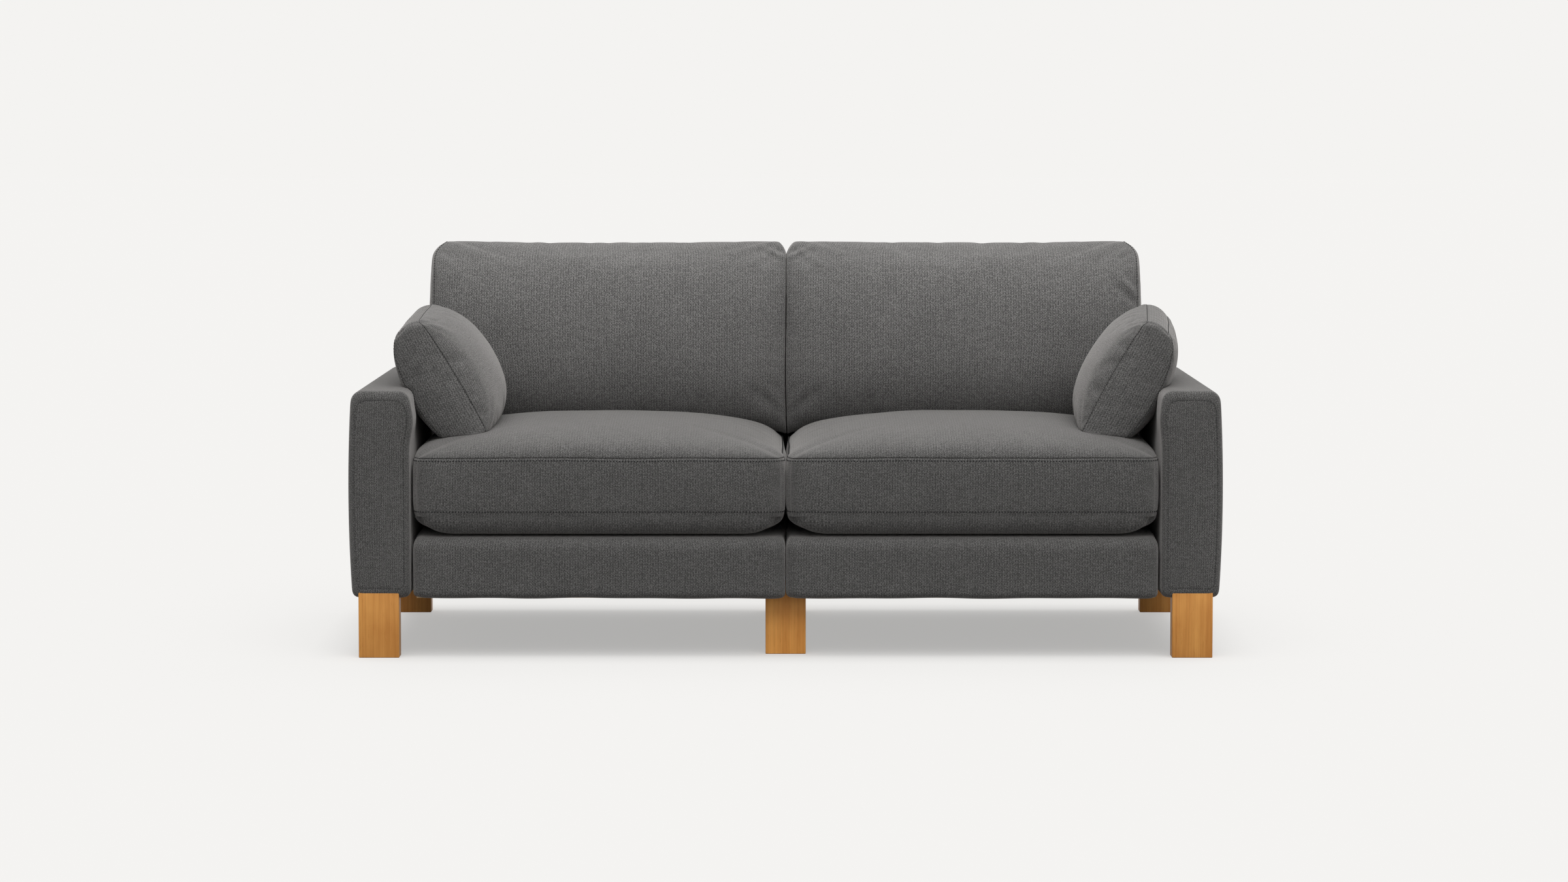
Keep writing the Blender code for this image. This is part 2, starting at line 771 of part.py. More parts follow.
def seat_cushion_form(name, side, grow=0):
    """A boxed seat cushion: crowned on top, flat where it rests, its border between two seams."""
    inner, outer = fit_gap / 2, module_width - fit_gap
    middle_x = side * (inner + outer) / 2
    half_x = (outer - inner) / 2 + grow
    front = front_y + seat_cushion_setback
    rear = back_front_y - fit_gap
    middle = (middle_x, (front + rear) / 2)
    half_y = (rear - front) / 2 + grow
    seam_x, seam_y = half_x - seat_seam_inset, half_y - seat_seam_inset
    steps = cushion_corner_steps

    rings = []
    for share in underside_shares[::-1]:
        outline = panel_outline(seam_x, seam_y, share, seat_corner_radius, steps)
        turned = (share - underside_shares[-1]) / (1 - underside_shares[-1])
        drop = seat_lower_seam * math.sqrt(1 - turned**2)
        rings.append(ring(outline, "Z", seat_seam_low - grow - drop, middle))
    boxing = rounded_outline(
        half_x, half_y, [seat_corner_radius] * 4, steps, cushion_side_parts
    )
    for share in boxing_shares:
        rings.append(ring(boxing, "Z", seat_seam_low + share * seat_boxing, middle))
    for share in crown_shares:
        outline = panel_outline(seam_x, seam_y, share, seat_corner_radius, steps)
        points = ring(outline, "Z", seat_seam_high + grow, middle)
        for point, (u, v) in zip(points, outline):
            if share < 1:
                swell = crown_at(u / seam_x, v / seam_y, crown_exponent_share)
                point.z += seat_crown * swell
        rings.append(points)
    return soft_piece(name, rings)


def smooth_step(value):
    """A soft rise from 0 to 1 as the value does."""
    value = min(1, max(0, value))
    return value * value * (3 - 2 * value)


def back_cushion_form(name, side, grow=0):
    """A back cushion whose front runs over the top, with a crowned front and an end panel at
    each side. Above the arms it swells a little past them."""
    inner, outer = fit_gap / 2, module_width - fit_gap
    middle_x = (inner + outer) / 2
    half_x = (outer - inner) / 2 - back_cushion_end_crown + grow
    half_y = back_cushion_depth / 2 + grow
    half_z = back_cushion_height / 2 + grow
    middle_y = back_front_y - fit_gap - back_cushion_depth / 2
    middle_z = back_cushion_foot + back_cushion_height / 2
    radii = (
        back_cushion_top_radius,
        back_cushion_top_radius,
        back_cushion_foot_radius,
        back_cushion_foot_radius,
    )

    def swelled(points, along):
        """Crowns the front, draws the top in at the ends and swells what stands over the arm."""
        for point in points:
            v = (point.z - middle_z) / half_z
            if point.y < middle_y:
                front = (middle_y - point.y) / half_y
                swell = crown_at(along, v, back_crown_exponent_share)
                point.y -= back_cushion_crown * swell * front
            if point.z > middle_z:
                drawn = abs(along) ** end_draw_exponent_share
                point.z -= back_cushion_end_draw * drawn * v
            over = smooth_step((point.z - arm_height) / back_cushion_shoulder_rise)
            over *= 1 - min(1, abs(v)) ** shoulder_exponent_share
            reach = smooth_step((point.x - middle_x) / half_x)
            point.x = side * (point.x + back_cushion_shoulder * over * reach)
        return points

    def end_panel(outward):
        rings = []
        for share in end_panel_shares[1:]:
            outline = rounded_outline(
                half_y * share,
                half_z * share,
                [radius * share for radius in radii],
                corner_steps,
                cushion_side_parts,
            )
            points = ring(outline, "X", 0, (middle_y, middle_z))
            for point, (u, v) in zip(points, outline):
                swell = crown_at(u / half_y, v / half_z, back_crown_exponent_share)
                point.x = middle_x + outward * (half_x + back_cushion_end_crown * swell)
            rings.append(swelled(points, outward))
        return rings

    rings = end_panel(-1)[::-1]
    for share in back_station_shares:
        outline = rounded_outline(half_y, half_z, radii, corner_steps, cushion_side_parts)
        points = ring(outline, "X", middle_x + share * half_x, (middle_y, middle_z))
        rings.append(swelled(points, share))
    return soft_piece(name, rings + end_panel(1))


def pillow_form(name, side):
    """A boxed arm pillow that leans on the arm, its fuller face turned in and up."""
    half_y, half_z = pillow_length / 2, pillow_height / 2
    outer_crown, inner_crown = left_pillow_crowns if side < 0 else right_pillow_crowns
    offset = left_pillow_offset if side < 0 else right_pillow_offset
    turns = left_pillow_turns if side < 0 else right_pillow_turns
    faces = []
    for outward in (-1, 1):
        crown = outer_crown if outward == side else inner_crown
        rings = []
        for share in pillow_crown_shares:
            outline = panel_outline(half_y, half_z, share, pillow_corner_radius, corner_steps)
            points = ring(outline, "X", 0)
            for point, (u, v) in zip(points, outline):
                swell = crown_at(u / half_y, v / half_z, pillow_crown_exponent_share)
                swell = swell if share < 1 else 0
                point.x = outward * (pillow_boxing / 2 + crown * swell)
            rings.append(points)
        faces.append(rings)
    swelled = rounded_outline(
        half_y + pillow_boxing_swell,
        half_z + pillow_boxing_swell,
        [pillow_corner_radius + pillow_boxing_swell] * 4,
        corner_steps,
        cushion_side_parts,
    )
    pillow = soft_piece(name, faces[0][::-1] + [ring(swelled, "X", 0)] + faces[1])
    cushion_front_y = back_front_y - fit_gap - back_cushion_depth
    pillow.location = (
        side * (module_width - offset),
        cushion_front_y - pillow_rear_gap - pillow_length / 2,
        arm_height + pillow_rise,
    )
    pillow.rotation_euler = Euler([math.radians(turn) for turn in turns])
    return pillow


def cushions(name, side):
    """The loose pieces of one seat: the seat cushion gives way under the back cushion, and the
    pillow where it leans on the arm and lies on the seat cushion."""
    back_cushion_form("back_cushion_" + name, side)
    seat = seat_cushion_form("seat_cushion_" + name, side)
    cut(seat, as_helper(back_cushion_form("back_cushion_press_" + name, side, fit_gap)))
    pillow = pillow_form("arm_pillow_" + name, side)
    cut(
        pillow,
        as_helper(arm_form("arm_press_" + name, side, fit_gap)),
        as_helper(seat_cushion_form("seat_press_" + name, side, fit_gap)),
    )


def sofa():
    """Builds the whole sofa under one empty."""
    for old in list(bpy.data.objects):
        bpy.data.objects.remove(old)
    root = bpy.data.objects.new("sofa", None)
    bpy.context.scene.collection.objects.link(root)
    leg_holes = legs()
    base_joint = joint("base_joint", -rail_inner_x - base_side_rail_thickness, 1)
    for name, side in sides.items():
        wall = side * (rail_outer_x - base_side_rail_thickness)
        arm_joint = joint("arm_joint_" + name, wall, side)
        seat_base(name, side, leg_holes, arm_joint, base_joint)
        arm(name, side, leg_holes, arm_joint[1])
        back(name, side)
        cushions(name, side)


sofa()
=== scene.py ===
"""The look of a two-seat sofa: its covers, cushions, pillows and legs, built round its frame.

Every piece is in metres, in the frame's own place. Left and right are those of someone who
looks at the front of the sofa."""

import math

import bmesh
import bpy
import numpy as np
from mathutils import Euler, Matrix, Vector
from mathutils.bvhtree import BVHTree


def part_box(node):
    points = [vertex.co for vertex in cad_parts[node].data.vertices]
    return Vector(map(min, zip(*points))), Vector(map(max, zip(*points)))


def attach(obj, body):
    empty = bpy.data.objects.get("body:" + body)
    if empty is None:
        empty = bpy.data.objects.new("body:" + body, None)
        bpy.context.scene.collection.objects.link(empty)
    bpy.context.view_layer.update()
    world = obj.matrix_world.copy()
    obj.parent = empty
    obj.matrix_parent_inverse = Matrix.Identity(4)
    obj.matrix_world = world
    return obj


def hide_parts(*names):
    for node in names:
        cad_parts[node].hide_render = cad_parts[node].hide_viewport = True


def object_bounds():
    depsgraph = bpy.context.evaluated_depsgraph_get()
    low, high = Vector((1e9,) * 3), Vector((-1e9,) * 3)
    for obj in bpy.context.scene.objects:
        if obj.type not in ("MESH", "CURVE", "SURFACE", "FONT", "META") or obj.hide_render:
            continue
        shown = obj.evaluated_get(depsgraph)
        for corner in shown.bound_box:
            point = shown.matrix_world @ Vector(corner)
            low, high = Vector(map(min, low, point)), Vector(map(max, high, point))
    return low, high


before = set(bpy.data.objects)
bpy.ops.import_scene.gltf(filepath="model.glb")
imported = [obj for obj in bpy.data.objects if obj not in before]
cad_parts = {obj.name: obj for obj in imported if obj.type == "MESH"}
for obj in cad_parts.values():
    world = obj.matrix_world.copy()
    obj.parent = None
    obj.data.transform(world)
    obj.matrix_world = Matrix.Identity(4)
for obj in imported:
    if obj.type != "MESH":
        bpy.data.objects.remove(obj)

bl_info = {
    "name": "Loveseat maker",
    "version": (1, 0, 0),
    "blender": (4, 5, 0),
    "location": "3D View > Sidebar > Sofa",
    "description": "Builds the covers, cushions, pillows and legs of a two-seat sofa",
    "category": "Add Mesh",
}

cad_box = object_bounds()
sides = {"left": -1, "right": 1}
weave_layer = "weave"
# The attribute that paints shade into the cloth along the seams' folds
seam_shade_layer = "seam"
# Smaller than any real distance, and the air between two pieces that touch
tiny = 1e-6
gap = 0.0006
# Faces round a quarter turn at a slab's rims
rim_steps = 5
# The cloth that swells the cushions: how hard it is blown up, up to which frame, and what it is
pressure, last_frame = 4.0, 20
cloth_settings = {
    "quality": 5,
    "mass": 0.3,
    "tension_stiffness": 25,
    "compression_stiffness": 25,
    "shear_stiffness": 8,
    "bending_stiffness": 0.4,
    "use_pressure": True,
    "uniform_pressure_force": pressure,
}



# Sizes and colours that a user would change


def metres(name, description, default):
    """A setting in metres."""
    return bpy.props.FloatProperty(name=name, description=description, default=default, unit="LENGTH")


def amount(name, description, default, subtype="UNSIGNED"):
    """A setting that is a strength, or a share where its subtype is FACTOR."""
    return bpy.props.FloatProperty(name=name, description=description, default=default, subtype=subtype)


def colour(name, description, default):
    """A setting that is a colour."""
    return bpy.props.FloatVectorProperty(
        name=name, description=description, default=default, subtype="COLOR"
    )


class ClothSettings(bpy.types.PropertyGroup):
    """The woven cloth of the covers."""

    dark: colour("Dark yarn", "Colour in the hollows of the weave", (0.046, 0.045, 0.044))
    light: colour("Light yarn", "Colour on the nubs of the weave", (0.205, 0.201, 0.196))
    nub_width: metres("Nub width", "Distance from one nub of the weave to the next", 0.0028)
    nub_height: metres("Nub height", "Distance between the rows of nubs", 0.0030)
    sheen: amount("Sheen", "How far the cloth's fuzz lights up at a low angle", 0.4, "FACTOR")


class WoodSettings(bpy.types.PropertyGroup):
    """The wood of the legs."""

    dark: colour("Late wood", "Colour of the grain's darker lines", (0.430, 0.160, 0.028))
    light: colour("Early wood", "Colour between the grain's lines", (0.660, 0.315, 0.078))
    edge: metres("Edge", "Width of the chamfer along the legs' edges", 0.0018)


class CushionSettings(bpy.types.PropertyGroup):
    """The seat cushions, back cushions and pillows."""

    seat_crown: metres("Seat crown", "How far a seat cushion's top swells above its seam", 0.069)
    back_crown: metres("Back crown", "How far a back cushion's front swells past its seams", 0.060)
    mesh_pitch: metres("Mesh pitch", "Size of the faces that the cushions are simulated with", 0.0098)
    seam_width: metres("Seam width", "Half the width of the fold along a seam", 0.0016)
    seam_depth: metres("Seam depth", "How deep a seam draws the cloth in", 0.0042)
    stitch_pitch: metres("Stitch pitch", "Distance from one stitch to the next", 0.0062)


class StageSettings(bpy.types.PropertyGroup):
    """The floor, light and camera."""

    backdrop: colour("Backdrop", "Colour of the floor and of the background", (0.905, 0.896, 0.880))
    floor_light: amount(
        "Floor light", "Share of the floor's brightness that a shadow can take away", 0.53, "FACTOR"
    )
    key: amount("Overhead light", "Strength of the soft light from above", 2.44)
    front: amount("Front light", "Strength of the soft light from in front", 0.5)
    sky: amount("Sky light", "Strength of the even light from all round", 0.28)


# Shader nodes


def add_node(tree, kind, inputs=None, **settings):
    """A shader node whose inputs are values or other nodes' outputs."""
    made = tree.nodes.new("ShaderNode" + kind)
    for name, value in settings.items():
        setattr(made, name, value)
    for name, value in (inputs or {}).items():
        if isinstance(value, bpy.types.NodeSocket):
            tree.links.new(value, made.inputs[name])
        else:
            made.inputs[name].default_value = value
    return made


def set_inputs(node, values):
    """Sets a node's own values."""
    for name, value in values.items():
        node.inputs[name].default_value = value


def calculate(tree, operation, *values, clamp=False):
    """The output of a Math node."""
    inputs = dict(enumerate(values))
    return add_node(tree, "Math", inputs, operation=operation, use_clamp=clamp).outputs[0]


def added(tree, total, *parts):
    """A total, with each part times its weight added to it in turn."""
    for value, weight in parts:
        total = calculate(tree, "MULTIPLY_ADD", value, weight, total)
    return total


def blend(tree, share, first, second):
    """The output of a colour Mix node, whose share and colours are its inputs 0, 6 and 7."""
    inputs = {0: share, 6: first, 7: second}
    return add_node(tree, "Mix", inputs, data_type="RGBA", blend_type="MIX").outputs[2]


def noise(tree, vector, scale, detail=2.0, roughness=0.5):
    """A noise texture whose scale is given along each axis."""
    place = add_node(tree, "VectorMath", {0: vector, 1: scale}, operation="MULTIPLY").outputs[0]
    inputs = {"Vector": place, "Scale": 1.0, "Detail": detail, "Roughness": roughness}
    return add_node(tree, "TexNoise", inputs, noise_dimensions="3D").outputs["Fac"]


def spread(tree, value, low, high, to_low=0.0, to_high=1.0):
    """A value moved from one range to another, and held in it."""
    inputs = {"Value": value, "From Min": low, "From Max": high, "To Min": to_low, "To Max": to_high}
    return add_node(tree, "MapRange", inputs, clamp=True).outputs["Result"]


def wave_of(tree, value):
    """A sine wave, up and down once in every two steps of a value."""
    return calculate(tree, "SINE", calculate(tree, "MULTIPLY", value, math.pi))


def effect_group(name, inputs, masks):
    """A node group that turns a vector into a colour and masks: its tree, and the sockets of its
    inputs and outputs. Inputs are given by their defaults, which also say what kind they are."""
    tree = bpy.data.node_groups.new(name, "ShaderNodeTree")
    sockets = [("Vector", "INPUT", "Vector", None)]
    for label, value in inputs.items():
        kind = "Float" if isinstance(value, float) else {3: "Vector", 4: "Color"}[len(value)]
        sockets.append((label, "INPUT", kind, value))
    sockets.append(("Colour", "OUTPUT", "Color", None))
    sockets += [(label, "OUTPUT", "Float", None) for label in masks]
    for label, end, kind, value in sockets:
        socket = tree.interface.new_socket(name=label, in_out=end, socket_type="NodeSocket" + kind)
        if value is not None:
            socket.default_value = value
    return tree, tree.nodes.new("NodeGroupInput").outputs, tree.nodes.new("NodeGroupOutput").inputs


def weave_effect():
    """Nubbly woven cloth: rows of small yarn nubs, each in its own shade, raised in turn in a
    rib and a basket, with fibres, slubs and faint patches of darker or lighter yarn."""
    tree, given, out = effect_group(
        "Woven cloth",
        {
            "Dark": (0.04, 0.04, 0.04, 1),
            "Light": (0.3, 0.3, 0.3, 1),
            "Nub Width": 0.0028,
            "Nub Height": 0.0030,
            "Seam": 0.0,
        },
        ("Height",),
    )
    place, seam = given["Vector"], given["Seam"]
    # Near black, painted as the shade deep in a seam's fold
    painted_fold_shade_colour = (0.004, 0.004, 0.004, 1)
    pitch = add_node(
        tree, "CombineXYZ", {"X": given["Nub Width"], "Y": given["Nub Height"], "Z": 1.0}
    ).outputs[0]
    cell_place = add_node(tree, "VectorMath", {0: place, 1: pitch}, operation="DIVIDE").outputs[0]
    cells = add_node(
        tree,
        "TexVoronoi",
        {"Vector": cell_place, "Scale": 1.0, "Randomness": 0.8},
        voronoi_dimensions="2D",
        feature="F1",
    )
    nub = spread(tree, cells.outputs["Distance"], 0.10, 0.62, 1.0, 0.0)
    shade = add_node(tree, "SeparateColor", {0: cells.outputs["Color"]}).outputs[0]
    shade = spread(tree, shade, 0.0, 1.0, 0.15, 1.0)
    across, up = add_node(tree, "SeparateXYZ", {0: cell_place}).outputs[:2]
    rib, rows = wave_of(tree, across), wave_of(tree, up)
    basket = calculate(tree, "MULTIPLY", rib, rows)
    fibre = spread(tree, noise(tree, place, (900.0, 620.0, 1.0), 2.0, 0.6), 0.30, 0.70)
    slub = spread(tree, noise(tree, place, (14.0, 110.0, 1.0)), 0.32, 0.68, -0.03, 0.03)
    streak = spread(tree, noise(tree, place, (120.0, 12.0, 1.0)), 0.32, 0.68, -0.02, 0.02)
    patch = spread(tree, noise(tree, place, (7.0, 7.0, 1.0)), 0.3, 0.7, -0.03, 0.03)
    shaded = calculate(tree, "MULTIPLY", nub, shade)
    tone = added(tree, 0.045, (shaded, 0.76), (fibre, 0.20), (rib, 0.10), (basket, 0.12))
    for part in (slub, streak, patch):
        tone = calculate(tree, "ADD", tone, part)
    # Painted shade in the seams' folds: where the Seam input is set, the weave darkens and blends towards
    # near black
    tone = calculate(tree, "MULTIPLY_ADD", seam, -0.75, tone, clamp=True)
    woven = blend(tree, tone, given["Dark"], given["Light"])
    painted_fold_shade_share = calculate(tree, "MULTIPLY", seam, 0.6)
    tree.links.new(blend(tree, painted_fold_shade_share, woven, painted_fold_shade_colour), out["Colour"])
    tree.links.new(added(tree, nub, (fibre, 0.25), (rib, 0.20)), out["Height"])


def grain_effect():
    """Straight wood grain along Z: broad bands, fine dark streaks and short pores."""
    tree, given, out = effect_group(
        "Wood grain",
        {"Dark": (0.4, 0.16, 0.04, 1), "Light": (0.66, 0.32, 0.09, 1)},
        ("Height", "Pores"),
    )
    place = given["Vector"]
    bands = spread(tree, noise(tree, place, (38.0, 38.0, 3.2), 3.0, 0.55), 0.34, 0.66)
    lines = spread(tree, noise(tree, place, (260.0, 260.0, 5.0)), 0.36, 0.64)
    cloud = spread(tree, noise(tree, place, (22.0, 22.0, 16.0)), 0.3, 0.7)
    pores = spread(tree, noise(tree, place, (900.0, 900.0, 42.0), 1.0), 0.66, 0.76)
    tone = added(tree, calculate(tree, "MULTIPLY", lines, 0.30), (bands, 0.42), (cloud, 0.28))
    tone = calculate(tree, "MULTIPLY_ADD", pores, -0.35, tone, clamp=True)
    tree.links.new(blend(tree, tone, given["Dark"], given["Light"]), out["Colour"])
    height = added(tree, calculate(tree, "MULTIPLY", lines, 0.2), (pores, -0.8))
    tree.links.new(height, out["Height"])
    tree.links.new(pores, out["Pores"])


def fleck_effect():
    """Uneven flecks at one size, for felt, webbing, dust cloth, board and steel."""
    tree, given, out = effect_group(
        "Flecks",
        {"Dark": (0.1, 0.1, 0.1, 1), "Light": (0.2, 0.2, 0.2, 1), "Stretch": (100.0, 100.0, 100.0)},
        ("Height",),
    )
    flecks = spread(tree, noise(tree, given["Vector"], given["Stretch"], 4.0, 0.6), 0.3, 0.7)
    tree.links.new(blend(tree, flecks, given["Dark"], given["Light"]), out["Colour"])
    tree.links.new(flecks, out["Height"])


def weave_place(tree):
    """Where a point is on a piece's own weave map."""
    return add_node(tree, "UVMap", uv_map=weave_layer).outputs["UV"]


def object_place(tree):
    """Where a point is on the sofa."""
    return add_node(tree, "TexCoord").outputs["Object"]


def effect_material(name, effect, place, values, depth, strength=0.5):
    """A material with the colour and bump of a node group, its shader and the group's node;
    place is a function that gives the group its vector."""
    material = bpy.data.materials.new(name)
    material.use_nodes = True
    tree = material.node_tree
    shader = tree.nodes["Principled BSDF"]
    vector = place(tree)
    made = tree.nodes.new("ShaderNodeGroup")
    made.node_tree = bpy.data.node_groups[effect]
    tree.links.new(vector, made.inputs["Vector"])
    set_inputs(made, values)
    tree.links.new(made.outputs["Colour"], shader.inputs["Base Color"])
    height = {"Strength": strength, "Distance": depth, "Height": made.outputs["Height"]}
    bump = add_node(tree, "Bump", height)
    tree.links.new(bump.outputs["Normal"], shader.inputs["Normal"])
    return material, shader, made


def tinted(settings, shade):
    """The dark and light colours of some settings, lightened or darkened."""
    return {
        "Dark": (*[shade * part for part in settings.dark], 1),
        "Light": (*[shade * part for part in settings.light], 1),
    }


def make_cloth(name, settings, shade):
    """Makes a material of woven cloth that follows a piece's own weave map."""
    values = {"Nub Width": settings.nub_width, "Nub Height": settings.nub_height}
    values.update(tinted(settings, shade))
    material, shader, cloth = effect_material(name, "Woven cloth", weave_place, values, 0.0006, 0.6)
    tree = material.node_tree
    # The seam attribute darkens the cloth in the seams' folds: painted shade
    seam = add_node(tree, "Attribute", attribute_name=seam_shade_layer, attribute_type="GEOMETRY")
    tree.links.new(seam.outputs["Fac"], cloth.inputs["Seam"])
    fuzz = {
        "Roughness": 0.92,
        "Specular IOR Level": 0.18,
        "Sheen Weight": settings.sheen,
        "Sheen Roughness": 0.45,
        "Sheen Tint": (1.0, 0.96, 0.93, 1.0),
    }
    set_inputs(shader, fuzz)


def make_flecked(name, dark, light, stretch, roughness, metallic=0.0):
    """A material of uneven flecks."""
    values = {"Dark": (*dark, 1), "Light": (*light, 1), "Stretch": stretch}
    material, shader, flecks = effect_material(name, "Flecks", object_place, values, 0.0003)
    tree = material.node_tree
    rough = spread(tree, flecks.outputs["Height"], 0.0, 1.0, roughness + 0.08, roughness - 0.05)
    tree.links.new(rough, shader.inputs["Roughness"])
    set_inputs(shader, {"Metallic": metallic})
    return material


def make_oiled_wood(name, settings, shade, turn, shift):
    """Makes a material of oiled wood with upright grain; turn and shift give each leg its own
    board."""

    def board_place(tree):
        inputs = {"Vector": object_place(tree), "Location": shift, "Rotation": (0, 0, turn)}
        return add_node(tree, "Mapping", inputs).outputs["Vector"]

    values = tinted(settings, shade)
    material, shader, grain = effect_material(name, "Wood grain", board_place, values, 0.00025)
    tree = material.node_tree
    rough = spread(tree, grain.outputs["Pores"], 0.0, 1.0, 0.46, 0.70)
    tree.links.new(rough, shader.inputs["Roughness"])
    set_inputs(shader, {"Specular IOR Level": 0.35})


# Forms


def gridded_box(counts):
    """A box from -1 to 1 along each axis, each face split into a grid."""
    shape = bmesh.new()
    shape.verts.layers.float.new(seam_shade_layer)
    bmesh.ops.create_cube(shape, size=2)
    for axis, count in enumerate(counts):
        along = [e for e in shape.edges if abs(e.verts[0].co[axis] - e.verts[1].co[axis]) > tiny]
        bmesh.ops.subdivide_edges(shape, edges=along, cuts=count - 1, use_grid_fill=True)
    shape.verts.index_update()
    return shape


def places_of(shape):
    """The places of a bmesh's vertices as an array."""
    return np.array([vert.co for vert in shape.verts])


def move_to(shape, places):
    """Puts the vertices of a bmesh in their places."""
    for vert, place in zip(shape.verts, places):
        vert.co = place
    shape.normal_update()


def even_rows(crown, exponent, half, pitch, samples=4001, end_width=0.05):
    """Rows from -1 to 1 along a crowned panel's curve, twice as close at its ends as in its
    middle, and how far along the curve each is; half is the panel's half width."""
    fine = np.linspace(-1, 1, samples)
    steps = np.hypot(np.diff(fine * half), np.diff(crown * crown_at(fine, 0, exponent)))
    along = np.concatenate(([0], np.cumsum(steps)))
    from_end = np.minimum(along, along[-1] - along)[1:]
    load = np.concatenate(([0], np.cumsum(steps * (1 + bell(from_end, end_width)))))
    wanted = np.linspace(0, load[-1], int(round(load[-1] / pitch)) + 1)
    return np.interp(wanted, load, fine), np.interp(wanted, load, along) - along[-1] / 2


def level_rows(levels, pitch):
    """Rows through given levels, with even steps no longer than the pitch between them."""
    rows = [levels[0]]
    for low, high in zip(levels, levels[1:]):
        parts = max(1, int(math.ceil((high - low) / pitch)))
        rows += [low + (high - low) * part / parts for part in range(1, parts + 1)]
    return np.array(rows)


def on_rows(column, rows):
    """Moves evenly spaced coordinates from -1 to 1 onto rows."""
    return np.interp(column, np.linspace(-1, 1, len(rows)), rows)


def rounded_square(p, q, half_p, half_q, radius):
    """Moves places on a square onto a rectangle with rounded corners, ring by ring."""
    reach = np.maximum(np.maximum(np.abs(p), np.abs(q)), tiny)
    edge_p, edge_q, turn = reach * half_p, reach * half_q, reach * radius
    u, v = np.abs(p) * half_p, np.abs(q) * half_q
    over_u = np.clip((u - edge_p + turn) / turn, 0, 1)
    over_v = np.clip((v - edge_q + turn) / turn, 0, 1)
    more, less = np.maximum(over_u, over_v), np.minimum(over_u, over_v)
    angle = less / np.maximum(more, tiny) * math.pi / 4
    angle = np.where(over_v > over_u, math.pi / 2 - angle, angle)
    corner = less > 0
    u = np.where(corner, edge_p - turn + turn * np.cos(angle), u)
    v = np.where(corner, edge_q - turn + turn * np.sin(angle), v)
    return np.sign(p) * u, np.sign(q) * v


def smooth_step(value):
    """A soft rise from 0 to 1 as the value does."""
    value = np.clip(value, 0, 1)
    return value * value * (3 - 2 * value)


def bell(away, width):
    """A bell curve: 1 where a distance is 0, and near 0 past twice its width."""
    return np.exp(-((away / width) ** 2))


def fading(above, height):
    """An even rise from 0 to 1 over a height, which ends where the distance above is 0."""
    return np.clip(above / height + 1, 0, 1)


def crown_at(p, q, exponent):
    """How far a panel swells at a place on it: p and q are 0 in its middle and 1 at its seams."""
    return (np.clip(1 - p * p, 0, 1) * np.clip(1 - q * q, 0, 1)) ** exponent


def gentle_noise(places, side, depth, scale, seed, count=7, size=4):
    """Soft waves about as deep and as long as given, the same each time for a seed and a side."""
    total = np.zeros(len(places))
    draws = np.random.default_rng(seed + side)
    for _ in range(count):
        direction = draws.normal(size=3)
        direction /= np.linalg.norm(direction)
        length = scale * draws.uniform(0.6, 1.6)
        total += np.sin(places @ direction * 2 * math.pi / length + draws.uniform(0, 2 * math.pi))
    return depth * (total / size)


def map_weave(shape, box, along):
    """Lays the weave on each panel in metres; along gives how far each vertex is along each
    axis of its panels."""
    layer = shape.loops.layers.uv.new(weave_layer)
    for face in shape.faces:
        middle = sum((Vector(box[vert.index]) for vert in face.verts), Vector()) / len(face.verts)
        axis = max(range(3), key=lambda part: abs(middle[part]))
        across, up = ((1, 2), (0, 2), (0, 1))[axis]
        shift = 2 * axis + (1 if middle[axis] > 0 else 0)
        for loop in face.loops:
            place = along[loop.vert.index]
            loop[layer].uv = (place[across] + shift, place[up] + shift)


def edge_pairs(shape):
    """The vertices at the ends of each edge, as an array."""
    return np.array([[edge.verts[0].index, edge.verts[1].index] for edge in shape.edges])


def evened(values, pairs, rounds):
    """Values at vertices, each drawn towards its neighbours' for a number of rounds."""
    count = np.bincount(pairs.ravel(), minlength=len(values))[:, None]
    for _ in range(rounds):
        total = np.zeros_like(values)
        for axis in range(values.shape[1]):
            total[:, axis] = np.bincount(pairs[:, 0], values[pairs[:, 1], axis], len(values))
            total[:, axis] += np.bincount(pairs[:, 1], values[pairs[:, 0], axis], len(values))
        values = values + 0.5 * (total / count - values)
    return values


def swollen(shape, held, looseness):
    """Where cloth of this shape goes when air is blown into it: held is how firmly each vertex
    stays, and looseness how much larger the cloth is than the shape."""
    mesh = bpy.data.meshes.new("swelling")
    shape.to_mesh(mesh)
    piece = bpy.data.objects.new("swelling", mesh)
    scene = bpy.context.scene
    scene.collection.objects.link(piece)
    group = piece.vertex_groups.new(name="held")
    for index, weight in enumerate(held):
        if weight > 0:
            group.add([index], float(weight), "REPLACE")
    cloth = piece.modifiers.new("cloth", "CLOTH")
    for key, value in cloth_settings.items():
        setattr(cloth.settings, key, value)
    cloth.settings.effector_weights.gravity = 0
    cloth.settings.vertex_group_mass = "held"
    cloth.settings.shrink_min = -looseness
    cloth.collision_settings.use_collision = False
    cloth.point_cache.frame_start = 1
    cloth.point_cache.frame_end = last_frame
    for number in range(1, last_frame + 1):
        scene.frame_set(number)
    worked = piece.evaluated_get(bpy.context.evaluated_depsgraph_get())
    places = np.array([vert.co for vert in worked.data.vertices])
    scene.frame_set(1)
    bpy.data.objects.remove(piece)
    bpy.data.meshes.remove(mesh)
    return places


def padded(shape, held, looseness, cap, fullness, detail, rounds=60):
    """Blows a shape up as cloth, then keeps two shares of how it moved: fullness of the broad
    swelling, which is what rounds of evening leave, and detail of its puckers.

    cap is the furthest that a place may move."""
    start = places_of(shape)
    moved = swollen(shape, held, looseness) - start
    broad = evened(moved, edge_pairs(shape), rounds)
    moved = fullness * broad + detail * (moved - broad)
    length = np.linalg.norm(moved, axis=1, keepdims=True)
    moved *= np.minimum(1, cap / np.maximum(length, tiny))
    places = start + moved
    move_to(shape, places)
    return places


